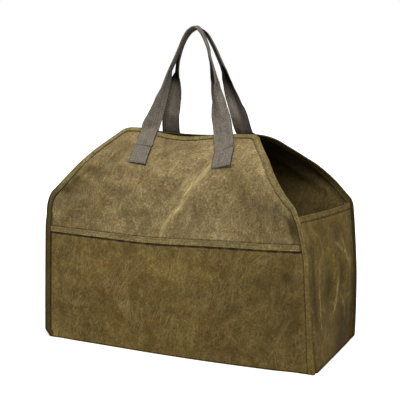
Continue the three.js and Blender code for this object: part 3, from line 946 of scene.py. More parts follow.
def tapePiece(name, edge, facing, ahead, behind, look, seed):
    distance = measured(edge)[1]
    travel = heading(edge)
    facing = squared(facing, travel)
    reach = unit(np.cross(facing, travel))
    face = layers["canvas"] / 2 + layers["tapeSlack"] + layers["tape"] / 2
    fold = layers["tapeSlack"] + layers["tape"] / 2
    front = face + ahead
    rear = -face - behind
    inner = fold + layers["tape"] / 2 - tape["width"] * look["share"]
    tipFront = inner + tape["edgeWave"] * lineNoise(distance, tape["waveSize"], seed)
    tipRear = inner + tape["edgeWave"] * lineNoise(distance, tape["waveSize"], seed + 1)
    radius = np.minimum((front - rear) / 2, tape["foldRadius"])
    start = fold - radius
    legs = np.array(tape["legShares"])
    turn = np.linspace(0, math.pi / 2, tape["foldDivisions"])
    outs = [tipFront + (start - tipFront) * share for share in legs]  # front leg, round the fold, rear leg
    outs += [start + radius * np.sin(angle) for angle in turn]
    outs += [start + radius * np.cos(angle) for angle in turn]
    outs += [tipRear + (start - tipRear) * share for share in legs[::-1]]
    throughs = [front] * len(legs)
    throughs += [front - radius + radius * np.cos(angle) for angle in turn]
    throughs += [rear + radius - radius * np.sin(angle) for angle in turn]
    throughs += [rear] * len(legs)
    outs = np.stack(outs, axis=-1)
    throughs = np.stack(throughs, axis=-1)
    legDark = np.clip(1 - legs / tape["darkTo"], 0, 0.5)
    onFold = np.zeros(len(legs))
    onFold[-2:] = tape["darkFold"]
    dark = np.concatenate([legDark, np.zeros(2 * len(turn)), legDark[::-1]])
    onFold = np.concatenate([onFold, np.ones(2 * len(turn)), onFold[::-1]])
    innerLeg = np.arange(len(dark)) < len(legs) + len(turn) // 2
    across = np.cumsum(np.hypot(np.diff(outs), np.diff(throughs)), axis=1)
    across = np.concatenate([np.zeros((len(edge), 1)), across], axis=1)
    sign = np.where(throughs > (front + rear)[:, None] / 2, 1, -1)
    onLeg = np.clip((start[:, None] - outs) / 3, 0, 1)
    fromTip = np.where(sign > 0, outs - tipFront[:, None], outs - tipRear[:, None])
    beat = 0.5 + 0.5 * np.cos(2 * math.pi * distance / tape["stitchPitch"])[:, None]
    uneven = softNoise(distance[:, None] + 0 * outs, fromTip, 8, seed + 2)
    swell = tape["puff"] * uneven * hill(fromTip - 6, 4)
    swell = swell - (0.12 + 0.2 * beat) * hill(fromTip - tape["stitchInset"], 1.1)  # drawn in by each stitch
    swell = np.maximum(swell, -0.2) + tape["edgeLift"] * hill(fromTip, 1.2)
    throughs = throughs + sign * onLeg * swell
    columns = outs.shape[1]
    points = edge[:, None, :] + reach[:, None, :] * outs[..., None] + facing[:, None, :] * throughs[..., None]
    points[..., 2] = np.maximum(points[..., 2], tape["floorGap"])

    def place(u, v):
        station = np.rint(v * (len(edge) - 1)).astype(int)
        column = np.rint(u * (columns - 1)).astype(int)
        cut = np.stack([across[station, column] + seed * tape["patternStep"], distance[station]], axis=-1)
        # painted shade at the tape's inner edge and on its fold
        groove = np.maximum(dark[column], look["foldDark"][station] * onFold[column])
        # painted shade over the tape, kept mostly on the inner leg where so asked
        tapeShade = look["dark"][station]
        if look["innerLegOnly"]:
            tapeShade = tapeShade * (innerLeg[column] + tape["outerDark"] * ~innerLeg[column])
        marks = {"groove": groove, "fade": look["fade"][station], "smudge": tapeShade}
        return points[station, column], cut, marks

    piece = clothPiece(name, columns - 1, len(edge) - 1, place)
    seat = {"point": edge, "reach": reach, "facing": facing, "travel": travel, "distance": distance}
    seat.update({"front": front, "rear": rear, "tipFront": tipFront, "tipRear": tipRear})
    return piece, seat


def wallEdge(wall):  # up the left edge, along the top and down the right edge
    samples = cutEdges[wall][0]
    x, length = evenly(np.vstack([samples * [-1, 1], samples[::-1]]), tape["step"]).T
    return *wallPlace(wall, x, length), x, length


# Stitches

stitch = {"length": 3.0, "width": 0.85, "height": 0.6, "segments": 6, "rings": 4, "sunk": 0.1}


def stitchMesh():  # one stitch, modelled once for all the rows
    bpy.ops.object.select_all(action="DESELECT")
    bpy.ops.mesh.primitive_uv_sphere_add(
        segments=stitch["segments"], ring_count=stitch["rings"], radius=0.5, rotation=(0, math.pi / 2, 0)
    )
    one = bpy.context.object
    bpy.ops.object.transform_apply(location=True, rotation=True, scale=True)
    points = np.array([vertex.co for vertex in one.data.vertices])
    faces = [list(face.vertices) for face in one.data.polygons]
    bpy.data.objects.remove(one)
    return points * [stitch["length"], stitch["width"], stitch["height"]], faces


stitchPoints, stitchFaces = stitchMesh()


def stitchPiece(name, rows):  # from rows of places, with the way along the seam and the way out of the cloth
    places, along, out = [np.vstack(column) for column in zip(*rows)]
    axes = np.stack([along, unit(np.cross(out, along)), out], axis=1)
    points = places[:, None, :] + np.einsum("vk,nkc->nvc", stitchPoints, axes)
    count = len(stitchPoints)
    faces = [[corner + k * count for corner in face] for k in range(len(places)) for face in stitchFaces]
    mesh = bpy.data.meshes.new(name)
    mesh.from_pydata(inFrame(points.reshape(-1, 3)).tolist(), [], faces)
    mesh.shade_smooth()
    piece = bpy.data.objects.new(name, mesh)
    bpy.context.collection.objects.link(piece)
    return piece


def tapeStitches(name, seat):
    pitch = tape["stitchPitch"]
    stops = np.arange(pitch, seat["distance"][-1] - pitch / 2, pitch)
    at = {}
    for key in ("point", "reach", "facing", "travel", "front", "rear", "tipFront", "tipRear"):
        values = seat[key].reshape(len(seat["distance"]), -1)
        at[key] = alongLine((values, seat["distance"]), stops)
    clear = at["point"][:, 2] >= 3 * pitch / 4  # of the floor
    rows = []
    for face, tip, sign in (("front", "tipFront", 1), ("rear", "tipRear", -1)):
        through = at[face] + sign * (layers["tape"] / 2 - stitch["sunk"])
        out = at[tip] + tape["stitchInset"]
        places = at["point"] + at["reach"] * out + at["facing"] * through
        rows.append((places[clear], unit(at["travel"])[clear], unit(at["facing"])[clear] * sign))
    return stitchPiece(name, rows)


def bindEdge(name, node, cloth, edge, facing, ahead, behind, look, seed):
    piece, seat = tapePiece(name, edge, facing, ahead, behind, look, seed)
    thicken(piece, layers["tape"])
    settle(piece, node, tapeMaterial)
    stitches = tapeStitches(name + "Stitches", seat)
    settle(stitches, node, tapeThread)


# Handles

handle = {
    "width": 38,
    "patchHeight": 42,
    "patchBottom": 91,  # along the cloth, under the top edge
    "onCloth": 1.7,  # from the wall's middle to the webbing's middle
    "doubled": 1.75,  # the folded-under end lifts the patch by one webbing
    "overTape": 1.6,
    "overTapeFrom": (12, 22),
    "crease": 2.0,  # half width of the rounded crease
    "step": 1.9,
    "columns": 28,
    "wave": 0.008,  # the selvedges aren't quite straight
    "waveSize": 24,
    "seed": 91,
    "boxInset": 4.5,  # the sewn box and cross on each patch
    "boxPitch": 3.6,
    "foldDark": 0.95,  # painted shade inside the fold, from the first of these angles on
    "foldAngles": (38, 74),
    "foldLight": {"loss": 0.7, "z": (536, 556), "x": 8},  # light reaches into the back one's fold and takes off some of its painted shade
    # painted shade along each patch's upper edge, painted light on the patches, which face up, and painted
    # shade along the selvedges
    "headDark": 0.75,
    "patchPaintedLight": 0.4,
    "selvedgeDark": 0.7,
}
handleRows = {
    "front": {
        "sewnX": ((-79, -80, -88), (100, 95, 75)),  # of each leg at patch foot, patch head and wall edge
        "skew": ((-0.11, -0.25), (0.16, 0.32)),  # how far foot and head climb for each mm across
        "paler": 0.3,
    },
    "back": {
        "sewnX": ((-74, -71, -64), (110, 107, 101.5)),
        "skew": ((0, 0), (0, 0)),
        "paler": 0.1,
    },
}
# The crease of each handle, how far it is turned and folded in degrees, and the shade away from the light
freeRows = named("x y z turn fold shade", {
    "front": [
        (-81.5, -41, 445, 0, 24),
        (-75, -41.5, 465, 0, 42),
        (-68, -42, 483, 0, 50),
        (-61, -42.5, 501, 0, 63),
        (-54, -43, 516, 7, 70),
        (-44.5, -44, 536, 16, 86.5),
        (-32, -45, 558.5, 16, 87),
        (-20, -46, 581, 18, 87),
        (-9, -46, 603, 18, 86),
        (0, -46, 614.5, 17, 86),
        (13, -46, 620.5, 16, 85),
        (25, -46, 612, 17, 86),
        (31.5, -46, 603, 19, 86),
        (37, -46, 592, 19, 87),
        (42, -46, 580.5, 21, 87, 0.3),
        (45.5, -46, 569, 26, 87, 0.85),
        (50, -45, 556.5, 31, 86, 1),
        (54.5, -45, 541, 34, 80, 1),
        (57, -44.5, 528, 34, 75, 1),
        (58, -44, 516, 30, 70, 0.95),
        (56, -43, 508, 20, 67, 0.6),
        (57, -42.5, 491, 10, 56),
        (60, -42, 479, 9, 48),
        (62, -41.5, 467, 10, 36),
        (65.5, -41, 454, 11, 18),
        (69, -41, 443, 12, 10),
    ],
    "back": [
        (-57.5, -8.5, 452, 0, 4),
        (-54.5, -8, 465, 0, 10),
        (-49, -7.5, 488.5, 0, 24),
        (-45.5, -7, 500.5, 0, 36),
        (-43, -6.5, 512, 0, 50),
        (-42.5, -6, 524, 8, 68),
        (-42.5, -6, 535.5, 18, 86),
        (-42, -6, 547, 20, 87),
        (-40, -6, 559, 18, 87),
        (-37, -5, 570.5, 16, 87),
        (-33, -5, 582, 12, 87),
        (-27.5, -5, 593.5, 10, 87),
        (-20, -5, 605, 10, 86),
        (-11, -5, 613.5, 12, 86),
        (3, -5, 619, 14, 86),
        (16, -5, 613, 14, 86),
        (25, -5, 604.5, 16, 86),
        (32.5, -5, 593, 15, 87),
        (39.5, -5, 581.5, 13, 87),
        (45.5, -5, 570, 12, 87),
        (51.5, -6, 558.5, 12, 87),
        (57.5, -6, 547, 11, 86),
        (63.5, -6, 535.5, 10, 80),
        (68.5, -6, 524, 2, 71),
        (73.5, -6.5, 512.5, 0, 64),
        (77, -7, 501, 0, 58),
        (81, -7.5, 490, 0, 51),
        (85.5, -8, 478, 0, 45),
        (89.5, -8, 467, 0, 39),
        (94.5, -8.5, 453, 0, 26),
    ],
})
legFoot, legHead = 4, 9  # the points of a sewn leg at its patch's lower fold and upper edge


def sewnLeg(wall, leg):  # under the patch, round its lower fold and up to the wall's edge
    rows = handleRows[wall]
    bottom = handle["patchBottom"]
    patchTop = bottom - handle["patchHeight"]
    under = np.array([patchTop + 3, patchTop + 14, patchTop + 26, bottom - 3])
    over = np.array([bottom - 3, bottom - 12, bottom - 22, bottom - 32, patchTop + 2, patchTop - 4])
    above = np.array([patchTop - 14, patchTop - 24, 14, 6, 0])
    below = np.concatenate([under, [bottom + 0.2], over, above])
    doubled = np.concatenate([under * 0, [0.5], [1, 1, 1, 1, 1, 0], above * 0])
    lift = handle["onCloth"] + handle["doubled"] * doubled
    lift = lift + handle["overTape"] * smoothFall(below, *handle["overTapeFrom"])
    foot, head, edge = rows["sewnX"][leg]

    def onWall(depth):
        x = np.interp(depth, (0, patchTop, bottom), (edge, head, foot))
        length = wallTop[wall] - depth
        return wallPlace(wall, x, length, wallRelief(wall, x, length))

    ground, normal = onWall(below)
    rise = unit(onWall(below - 4)[0] - onWall(below + 4)[0])
    across = unit(np.cross(-normal, rise))
    footSkew, headSkew = rows["skew"][leg]
    climb = np.interp(below, (8, patchTop, bottom), (0, headSkew, footSkew))
    return ground + normal * lift[:, None], across, rise * climb[:, None]


def handleLine(wall):
    rows = freeRows[wall]
    leftPoints, leftAcross, leftSkew = sewnLeg(wall, 0)
    rightPoints, rightAcross, rightSkew = sewnLeg(wall, 1)
    sewn = np.zeros(len(leftPoints))
    free = np.array([[row["x"], row["y"], row["z"]] for row in rows], float)
    turn = np.radians([row["turn"] for row in rows])
    fold = np.concatenate([sewn, np.radians([row["fold"] for row in rows]), sewn])[:, None]
    shade = np.concatenate([sewn, [row.get("shade", 0) for row in rows], sewn])[:, None]
    inward = -outward[wall] * np.stack([-np.sin(turn), np.cos(turn), turn * 0], axis=-1)
    points = np.vstack([leftPoints, free, rightPoints[::-1]])
    travel = heading(points)[len(sewn) : -len(sewn)]
    across = np.vstack([leftAcross, unit(np.cross(inward, travel)), -rightAcross[::-1]])
    skew = np.vstack([leftSkew, free * 0, -rightSkew[::-1]])
    line = smoothLine(points)
    stations = line[1][::lineSamples]
    count = int(round(line[1][-1] / handle["step"]))
    distance = np.linspace(0, line[1][-1], count + 1)
    travel = unit(alongLine(line, distance + 0.6) - alongLine(line, distance - 0.6))
    across = squared(alongLine((across, stations), distance), travel)
    left = (stations[legFoot], stations[legHead] + 2.5)
    right = (stations[-1 - legHead] - 2.5, stations[-1 - legFoot])
    return {
        "point": alongLine(line, distance),
        "travel": travel,
        "across": across,
        "inward": np.cross(travel, across),
        "skew": alongLine((skew, stations), distance),
        "fold": alongLine((fold, stations), distance)[:, 0] + 1e-4,  # never quite flat
        "shade": alongLine((shade, stations), distance)[:, 0],
        "distance": distance,
        "patches": (left, right),  # where each starts and ends along the webbing
    }


def handlePiece(wall):
    line = handleLine(wall)
    distance = line["distance"]
    (leftFoot, leftHead), (rightHead, rightFoot) = line["patches"]
    # painted shade along each patch's upper edge
    groove = handle["headDark"] * np.maximum(hill(distance - leftHead, 1.7), hill(distance - rightHead, 1.7))
    left = band(distance, leftFoot - 2, leftFoot, leftHead - 1, leftHead + 1)
    right = band(distance, rightHead - 1, rightHead + 1, rightFoot, rightFoot + 2)
    # painted light on the patches, where they face up
    paler = np.maximum(handle["patchPaintedLight"] * (left + right), handleRows[wall]["paler"])
    # painted shade inside the fold
    inFold = handle["foldDark"] * smoothStep(np.degrees(line["fold"]), *handle["foldAngles"])
    if wall == "back":
        light = handle["foldLight"]
        reached = smoothStep(line["point"][:, 2], *light["z"]) * (line["point"][:, 0] > light["x"])
        inFold = inFold * (1 - light["loss"] * reached)

    def place(u, v):
        station = np.rint(v * (len(distance) - 1)).astype(int)
        a = (u - 0.5) * handle["width"]
        # painted shade along the selvedges
        selvedge = handle["selvedgeDark"] * (np.abs(u - 0.5) > 0.499)
        a = a * (1 + handle["wave"] * softNoise(distance[station], a, handle["waveSize"], handle["seed"]))
        fold = line["fold"][station]
        crease = handle["crease"]
        angle = fold * np.clip(a / crease, -1, 1)
        beyond = np.clip(np.abs(a) - crease, 0, None)
        x = crease / fold * np.sin(angle) + np.sign(a) * beyond * np.cos(fold)
        y = crease / fold * (1 - np.cos(angle)) + beyond * np.sin(fold)
        point = line["point"][station] + line["across"][station] * x[:, None]
        point = point + line["inward"][station] * y[:, None] + line["skew"][station] * x[:, None]
        awayFromLight = line["shade"][station] * smoothStep(a, 0, 3)
        dark = most(groove[station], selvedge, awayFromLight)
        marks = {"groove": dark, "fade": paler[station], "gloom": inFold[station]}
        return point, np.stack([a, distance[station]], axis=-1), marks

    return clothPiece(wall + "Handle", handle["columns"], len(distance) - 1, place), line


def patchStitches(name, line):  # a box with a cross in it on each patch
    half = handle["width"] / 2 - handle["boxInset"]
    rows = []
    for start, end in line["patches"]:
        low = start + handle["boxInset"] - 2
        high = end - handle["boxInset"] + 2
        box = [(-half, low), (half, low), (half, high), (-half, high), (-half, low), (half, high)]
        for side in [*zip(box[:-1], box[1:]), ((half, low), (-half, high))]:
            stops = evenly(side, handle["boxPitch"])
            middle = (stops[1:] + stops[:-1]) / 2
            step = stops[1:] - stops[:-1]
            at = {}
            for key in ("point", "travel", "across", "inward", "skew"):
                at[key] = alongLine((line[key], line["distance"]), middle[:, 1])
            sideStep = at["across"] + at["skew"]
            places = at["point"] + sideStep * middle[:, :1] - at["inward"] * (layers["webbing"] / 2)
            along = unit(sideStep * step[:, :1] + at["travel"] * step[:, 1:])
            rows.append((places, along, -at["inward"]))
    return stitchPiece(name, rows)


# Materials

usual = {"Mix": {"data_type": "RGBA"}, "Mapping": {"vector_type": "TEXTURE"}}
outlets = {"Mix": 2, "Attribute": 2, "TexCoord": 3}  # the outlet that is used, where it isn't the first


def linear(hexColour):
    parts = [int(hexColour[k : k + 2], 16) / 255 for k in (1, 3, 5)]
    return [c / 12.92 if c <= 0.04045 else ((c + 0.055) / 1.055) ** 2.4 for c in parts] + [1]


# Inputs 1 to 4 of a MapRange are from low, from high, to low and to high,
# and a Mix has its factor on 0 and its two colours on 6 and 7
def addNode(tree, kind, settings=None, links=None, stops=()):
    node = tree.nodes.new("ShaderNode" + kind)
    for key, value in {**usual.get(kind, {}), **(settings or {})}.items():
        if isinstance(key, str) and hasattr(node, key):
            setattr(node, key, value)
        else:
            node.inputs[key].default_value = value
    for key, source in (links or {}).items():
        tree.links.new(source, node.inputs[key])
    for k, (position, colour) in enumerate(stops):  # of a colour ramp
        stop = node.color_ramp.elements[k] if k < 2 else node.color_ramp.elements.new(position)
        stop.position = position
        stop.color = linear(colour)
    return node.outputs[outlets.get(kind, 0)] if node.outputs else None


def freshMaterial(name):
    material = bpy.data.materials.new(name)
    material.use_nodes = True
    material.node_tree.nodes.clear()
    return material, partial(addNode, material.node_tree)


def weaveHeight(add, cut, spacings):  # threads over and under each other, by their spacing each way
    parts = add("SeparateXYZ", {}, {0: cut}).node.outputs
    waves = []
    for axis, spacing in enumerate(spacings):
        turns = 2 * math.pi * 1000 / spacing
        angle = add("Math", {"operation": "MULTIPLY", 1: turns}, {0: parts[axis]})
        waves.append(add("Math", {"operation": "SINE"}, {0: angle}))
    return add("Math", {"operation": "MULTIPLY"}, {0: waves[0], 1: waves[1]})


waxNoiseRows = named("layer size detail rough twist place", [
    ("cloud", 75, 3, 0.5, 0, "cut"),
    ("mottle", 19, 5, 0.6, 0.5, "bent"),
    ("grain", 4.2, 3, 0.8, 0, "cut"),
    ("spots", 34, 4, 0.65, 0, "bent"),
    ("flecks", 7, 3, 0.7, 0, "shaky"),
    ("clusters", 58, 2, 0.5, 0, "bent"),
])
waxTintRows = named("layer from tint share", [
    ("spots", 0.55, "ochre", 0.6),
    ("flecks", 0.54, "ochre", 0.5),
    ("cloud", 0.4, "green", 0.2),
])
scratchRows = named("lean width length pale", [  # lean from upright in degrees
    (24, 2.2, 40, 0.7),
    (-4, 2.0, 34, 0.55),
    (50, 2.4, 36, 0.55),
    (-38, 2.2, 26, 0.35),
    (6, 9, 80, 0.35),
])
canvasTones = {
    "deep": "#302810",
    "mid": "#64512a",
    "light": "#99854f",
    "pale": "#b19e6b",
    "palest": "#cdba80",
    "ochre": "#ffd489",
    "green": "#f0ffe0",
    "unlit": "#1b1408",
    "inner": "#231b10",
    "faded": (1.56, 1.72, 2.76, 1),  # how much paler and greyer the upper wall is drawn
    "crackle": 0.2,
    "scratches": scratchRows,
    "threadSpacing": 2.6,  # about four times the real spacing, so that it shows
}
tapeTones = {
    "deep": "#33290f",
    "mid": "#675529",
    "light": "#988450",
    "pale": "#a59466",
    "palest": "#b9a87a",
    "ochre": "#ffe2ac",
    "green": "#f0ffdc",
    "unlit": "#1b1408",
    "inner": "#231b10",
    "faded": (1.45, 1.62, 2.5, 1),
    "crackle": 0.1,
    "scratches": scratchRows[:1],
    "threadSpacing": 2.2,
}


def waxedCanvas(name, tones):  # cotton soaked in wax: soft sheen, mottled, pale where it creases; its marks paint shade and highlights on it
    material, add = freshMaterial(name)
    cut = add("UVMap", {"uv_map": "cloth"})
    places = {"cut": cut}
    wander = add("TexNoise", {"Scale": 1000 / 26, "Detail": 2}, {"Vector": cut}).node.outputs["Color"]
    for place, reach in (("bent", 12 * mm), ("shaky", 5 * mm)):
        settings = {"operation": "MULTIPLY_ADD", 1: (reach, reach, 0)}
        places[place] = add("VectorMath", settings, {0: wander, 2: cut})
    layer = {}
    for row in waxNoiseRows:
        settings = {"Scale": 1000 / row["size"], "Detail": row["detail"]}
        settings.update({"Roughness": row["rough"], "Distortion": row["twist"]})
        layer[row["layer"]] = add("TexNoise", settings, {"Vector": places[row["place"]]})
    marks = {}
    for mark in ("crease", "smudge", "fade", "groove", "gloom"):
        marks[mark] = add("Attribute", {"attribute_name": mark})
    tone = add("Math", {"operation": "MULTIPLY_ADD", 1: 0.35, 2: -0.175}, {0: layer["cloud"]})
    for finer, share in (("mottle", 0.4), ("grain", 0.8)):
        tone = add("Math", {"operation": "MULTIPLY_ADD", 1: share}, {0: layer[finer], 2: tone})
    tone = add("Math", {"operation": "SUBTRACT", 1: 0.1}, {0: tone})
    stops = [(0.2, tones["deep"]), (0.86, tones["light"]), (0.52, tones["mid"])]
    colour = add("ValToRGB", {}, {"Fac": tone}, stops)
    for row in waxTintRows:
        settings = {1: row["from"], 2: row["from"] + 0.2, 3: 0.0, 4: row["share"]}
        amount = add("MapRange", settings, {0: layer[row["layer"]]})
        tint = linear(tones[row["tint"]])
        colour = add("Mix", {"blend_type": "MULTIPLY", 7: tint}, {0: amount, 6: colour})
    patchy = add("MapRange", {1: 0.3, 2: 0.7, 3: 0.7, 4: 1.3, "clamp": False}, {0: layer["grain"]})
    rubbed = add("Math", {"operation": "MULTIPLY"}, {0: marks["fade"], 1: patchy})
    settings = {"blend_type": "MULTIPLY", "clamp_factor": False, 7: tones["faded"]}
    colour = add("Mix", settings, {0: rubbed, 6: colour})
    laid = add("Mapping", {"Rotation": (0, 0, -0.56), "Scale": (2.4 * mm, 26 * mm, 1)}, {0: places["shaky"]})
    fibres = add("TexNoise", {"Scale": 1.0, "Detail": 3, "Roughness": 0.65}, {"Vector": laid})
    frayed = add("MapRange", {1: 0.38, 2: 0.64, 3: 0.08, 4: 1.25}, {0: fibres})
    pale = add("Math", {"operation": "MULTIPLY"}, {0: marks["crease"], 1: frayed})
    some = add("MapRange", {1: 0.4, 2: 0.62, 3: 0.15, 4: 1.0}, {0: layer["clusters"]})
    for row in tones["scratches"]:
        lean = -math.radians(row["lean"])
        settings = {"Rotation": (0, 0, lean), "Scale": (row["width"] * mm, row["length"] * mm, 1)}
        laid = add("Mapping", settings, {0: places["shaky"]})
        streak = add("TexNoise", {"Scale": 1.0, "Detail": 3, "Roughness": 0.6}, {"Vector": laid})
        streak = add("MapRange", {1: 0.55, 2: 0.78, 3: 0.0, 4: row["pale"]}, {0: streak})
        streak = add("Math", {"operation": "MULTIPLY"}, {0: streak, 1: some})
        pale = add("Math", {"operation": "MAXIMUM"}, {0: pale, 1: streak})
    laid = add("Mapping", {"Rotation": (0, 0, -0.3), "Scale": (13 * mm, 26 * mm, 1)}, {0: places["bent"]})
    cells = add("TexVoronoi", {"feature": "DISTANCE_TO_EDGE", "Scale": 1.0}, {"Vector": laid})
    crackle = add("MapRange", {1: 0.0, 2: 0.09, 3: tones["crackle"], 4: 0.0}, {0: cells})
    broken = add("MapRange", {1: 0.45, 2: 0.62, 3: 0.0, 4: 1.0}, {0: layer["mottle"]})
    crackle = add("Math", {"operation": "MULTIPLY"}, {0: crackle, 1: broken})
    pale = add("Math", {"operation": "MAXIMUM"}, {0: pale, 1: crackle})
    scraped = add("Mix", {6: linear(tones["pale"]), 7: linear(tones["palest"])}, {0: marks["fade"]})
    colour = add("Mix", {}, {0: pale, 6: colour, 7: scraped})
    # these marks paint thick wax with shade, the shade inside, and the shade along seams, folds and edges
    for mark, shade in (("smudge", "deep"), ("gloom", "inner"), ("groove", "unlit")):
        colour = add("Mix", {7: linear(tones[shade])}, {0: marks[mark], 6: colour})
    weave = weaveHeight(add, cut, [tones["threadSpacing"]] * 2)
    bump = add("Bump", {"Strength": 0.3, "Distance": 0.4 * mm}, {"Height": weave})
    bump = add("Bump", {"Strength": 0.5, "Distance": 1.2 * mm}, {"Height": tone, "Normal": bump})
    rough = add("MapRange", {1: 0.3, 2: 0.8, 3: 0.6, 4: 0.8}, {0: tone})
    settings = {"IOR": 1.45, "Specular IOR Level": 0.12}
    shader = add("BsdfPrincipled", settings, {"Base Color": colour, "Roughness": rough, "Normal": bump})
    add("OutputMaterial", {}, {"Surface": shader})
    return material


webbingTones = {
    "dark": "#4b443b",
    "light": "#7f766a",
    "faded": (1.42, 1.44, 1.46, 1),
    # colours of the painted shade: at the patches' heads, the selvedges and the leg turned from the light,
    # and inside the folds
    "groove": "#120f0a",
    "gloom": "#0b0906",
    "threadSpacings": (3.0, 2.4),  # about twice the real ones, so that they show
}


def cottonWebbing():  # close-woven cotton strap: matt and greyed, warp lines along it and fine ribs across
    material, add = freshMaterial("cottonWebbing")
    cut = add("UVMap", {"uv_map": "cloth"})
    laid = add("Mapping", {"Scale": (2.6 * mm, 60 * mm, 1)}, {0: cut})
    warp = add("TexNoise", {"Scale": 1.0, "Detail": 3, "Roughness": 0.6}, {"Vector": laid})
    tone = add("Math", {"operation": "MULTIPLY", 1: 0.5}, {0: warp})
    for size, detail, rough, share in ((16, 4, 0.6, 0.4), (2.4, 2, 0.8, 1.0)):  # mottling, then fuzz
        noise = add("TexNoise", {"Scale": 1000 / size, "Detail": detail, "Roughness": rough}, {"Vector": cut})
        tone = add("Math", {"operation": "MULTIPLY_ADD", 1: share}, {0: noise, 2: tone})
    tone = add("Math", {"operation": "SUBTRACT", 1: 0.45}, {0: tone})
    colour = add("ValToRGB", {}, {"Fac": tone}, [(0.3, webbingTones["dark"]), (0.7, webbingTones["light"])])
    # fade draws the webbing paler; on the patches that is painted light, where they face up
    fade = add("Attribute", {"attribute_name": "fade"})
    colour = add("Mix", {"blend_type": "MULTIPLY", 7: webbingTones["faded"]}, {0: fade, 6: colour})
    for mark in ("groove", "gloom"):
        dark = add("Attribute", {"attribute_name": mark})
        colour = add("Mix", {7: linear(webbingTones[mark])}, {0: dark, 6: colour})
    weave = weaveHeight(add, cut, webbingTones["threadSpacings"])
    bump = add("Bump", {"Strength": 0.4, "Distance": 0.5 * mm}, {"Height": weave})
    bump = add("Bump", {"Strength": 0.4, "Distance": 0.8 * mm}, {"Height": tone, "Normal": bump})
    settings = {"IOR": 1.45, "Roughness": 0.85, "Specular IOR Level": 0.12, "Sheen Weight": 0.02}
    shader = add("BsdfPrincipled", settings, {"Base Color": colour, "Normal": bump})
    add("OutputMaterial", {}, {"Surface": shader})
    return material


def sewingThread(name, dark, light):  # spun cotton thread: matt, a little uneven along its twist
    material, add = freshMaterial(name)
    place = add("TexCoord")
    twist = add("TexNoise", {"Scale": 1000 / 1.6, "Detail": 2, "Roughness": 0.6}, {"Vector": place})
    colour = add("ValToRGB", {}, {"Fac": twist}, [(0.3, dark), (0.7, light)])
    bump = add("Bump", {"Strength": 0.4, "Distance": 0.3 * mm}, {"Height": twist})
    settings = {"IOR": 1.45, "Roughness": 0.75, "Specular IOR Level": 0.3}
    shader = add("BsdfPrincipled", settings, {"Base Color": colour, "Normal": bump})
    add("OutputMaterial", {}, {"Surface": shader})
    return material


canvasMaterial = waxedCanvas("waxedCanvas", canvasTones)
tapeMaterial = waxedCanvas("waxedTape", tapeTones)
webbingMaterial = cottonWebbing()
tapeThread = sewingThread("cottonThread", "#4a3c1e", "#6b5930")
patchThread = sewingThread("greyThread", "#69625a", "#857d73")
print("materials mixed")

# Build

sides = {"left": -1, "right": 1}

for wall in outward:
    sheet = wallPiece(wall)
    thicken(sheet, layers["canvas"], (0, outward[wall], 0))
    settle(sheet, wall + "_panel", canvasMaterial)

pocketSheet = clothPiece("frontPocket", pocket["columns"], pocket["rows"], pocketPlace)
thicken(pocketSheet, layers["canvas"])
settle(pocketSheet, "front_pocket", canvasMaterial)

baseSheet = clothPiece("base", baseCut["columns"], baseCut["rows"], basePlace)
thicken(baseSheet, layers["canvas"])
settle(baseSheet, "bottom_panel", canvasMaterial)

for word, side in sides.items():
    endSheet = endPiece(side, "endWall" + word.capitalize())
    thicken(endSheet, layers["canvas"], (side, 0, 0))
    settle(endSheet, "end_panel_" + word, canvasMaterial)

for wall in outward:
    points, normal, x, length = wallEdge(wall)
    mouth = mouthLength(x)
    ahead = pocket["step"] * smoothFall(length, mouth + 1, mouth + pocket["fade"])
    behind = layers["seamStep"] * smoothFall(length, endCut["length"] + 1, endCut["length"] + 12)
    upright = smoothFall(length, *tape["upright"])
    if wall == "front":
        fade = 0.25 + 0.6 * smoothStep(length, *tape["frontFade"])
        left = upright * (x < 0)
        # the left seam's tape, turned from the light, is painted in shade, and its fold too
        look = tapeLook(len(x), fade, 0.7 * left, 0.15 + 0.6 * left, tapeShare(x, length))
    else:  # the face that shows is the one inside the bag
        normal, ahead, behind = -normal, behind, 0 * behind
        # the inside face and its fold are painted in shade
        look = tapeLook(len(x), 0.1, 0.45 + 0.25 * upright, 0.45 + 0.2 * upright, innerLegOnly=True)
    names = (wall + "Binding", wall + "_binding", wall + "Wall")
    bindEdge(*names, points, normal, ahead, behind, look, tape["seed"][wall])

share = np.linspace(*pocket["mouthEnds"], pocket["mouthSamples"])
edge = evenly(pocketPlace(share, share * 0 + 1)[0], tape["step"])
facing = np.tile([0.0, -1.0, 0.0], (len(edge), 1))
none = np.zeros(len(edge))
look = tapeLook(len(edge), pocket["tapeFade"], share=pocket["tapeShare"])
names = ("pocketBinding", "pocket_binding", "frontPocket")
bindEdge(*names, edge, facing, none, none, look, tape["seed"]["pocket"])

for word, side in sides.items():
    start = (endFlange + endCorner + 1) / endWidth
    share = np.linspace(start, 1 - start, endCut["tapeSamples"])
    edge = endPlace(side, share, share * 0 + 1)
    facing = np.tile([1.0, 0.0, 0.0], (len(edge), 1))
    none = np.zeros(len(edge))
    look = tapeLook(len(edge), endCut["tapeFade"], share=endCut["tapeShare"])
    names = ("endBinding" + word.capitalize(), "end_binding_" + word, "endWall" + word.capitalize())
    bindEdge(*names, edge, facing, none, none, look, tape["seed"]["end"] + side)

for wall in outward:
    piece, line = handlePiece(wall)
    thicken(piece, layers["webbing"], np.repeat(-line["inward"], handle["columns"] + 1, axis=0))
    settle(piece, wall + "_handle", webbingMaterial)
    stitches = patchStitches(wall + "HandleStitches", line)
    settle(stitches, wall + "_handle", patchThread)

# Floor, light and camera

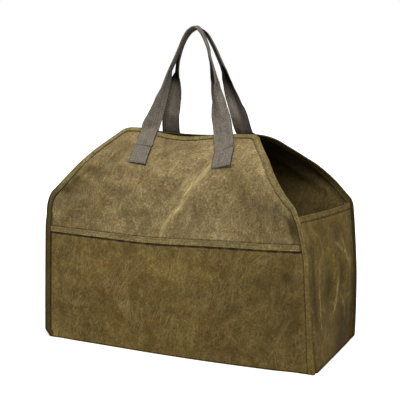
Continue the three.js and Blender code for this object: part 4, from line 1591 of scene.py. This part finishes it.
studio = {
    "floorSize": 30,  # in metres
    "floorPaint": "#f6f5f3",
    "floorLift": 0.35,
    "floorBounce": 0.3,
    "skySeen": 1.0,  # the backdrop is white to the eye, and lights the carrier less
    "skyLight": 0.3,
}
lightRows = named("name azimuth elevation strength spread", [  # broad soft lights, by the side they come from
    ("key", 35, 46, 3.3, 40),
    ("rim", 205, 35, 0.9, 60),
    ("fill", 280, 35, 0.5, 60),
])
cameraView = {
    "azimuth": 27.27,
    "elevation": 7.43,
    "place": (0.8897, -1.7184, 0.5361),  # in metres
    "lens": 88.5,
    "sensor": 36,
}

bpy.ops.object.select_all(action="DESELECT")
bpy.ops.mesh.primitive_plane_add(size=studio["floorSize"])
floor = bpy.context.object
floor.name = "floor"
floorPaint, add = freshMaterial("paintedFloor")  # white paint, matt; a soft shade is left under the carrier
seen = add("LightPath")
dull = add("BsdfDiffuse", {"Color": [studio["floorBounce"]] * 3 + [1]})
white = add("BsdfDiffuse", {"Color": linear(studio["floorPaint"])})
lifted = add("Emission", {"Color": linear(studio["floorPaint"]), "Strength": studio["floorLift"]})
bright = add("AddShader", {}, {0: white, 1: lifted})
paint = add("MixShader", {}, {0: seen, 1: dull, 2: bright})
add("OutputMaterial", {}, {"Surface": paint})
floor.data.materials.append(floorPaint)

world = bpy.data.worlds.new("studio")
bpy.context.scene.world = world
world.use_nodes = True
world.node_tree.nodes.clear()
add = partial(addNode, world.node_tree)
glow = add("MapRange", {1: 0.0, 2: 1.0, 3: studio["skyLight"], 4: studio["skySeen"]}, {0: add("LightPath")})
sky = add("Background", {"Color": (1, 1, 1, 1)}, {"Strength": glow})
add("OutputWorld", {}, {"Surface": sky})

for row in lightRows:
    bpy.ops.object.light_add(type="SUN")
    lamp = bpy.context.object
    lamp.name = row["name"]
    lamp.data.energy = row["strength"]
    lamp.data.angle = math.radians(row["spread"])
    lamp.rotation_euler = (math.radians(90 - row["elevation"]), 0, math.radians(row["azimuth"]))

bpy.context.scene.view_settings.view_transform = "Standard"
azimuth = math.radians(cameraView["azimuth"])
elevation = math.radians(cameraView["elevation"])
level = math.cos(elevation)
lookBack = Vector((math.sin(azimuth) * level, -math.cos(azimuth) * level, math.sin(elevation)))
bpy.ops.object.camera_add(location=cameraView["place"])
camera = bpy.context.object
camera.rotation_euler = (-lookBack).to_track_quat("-Z", "Y").to_euler()
camera.data.lens = cameraView["lens"]
camera.data.sensor_width = cameraView["sensor"]
bpy.context.scene.camera = camera
print("floor, light and camera set")
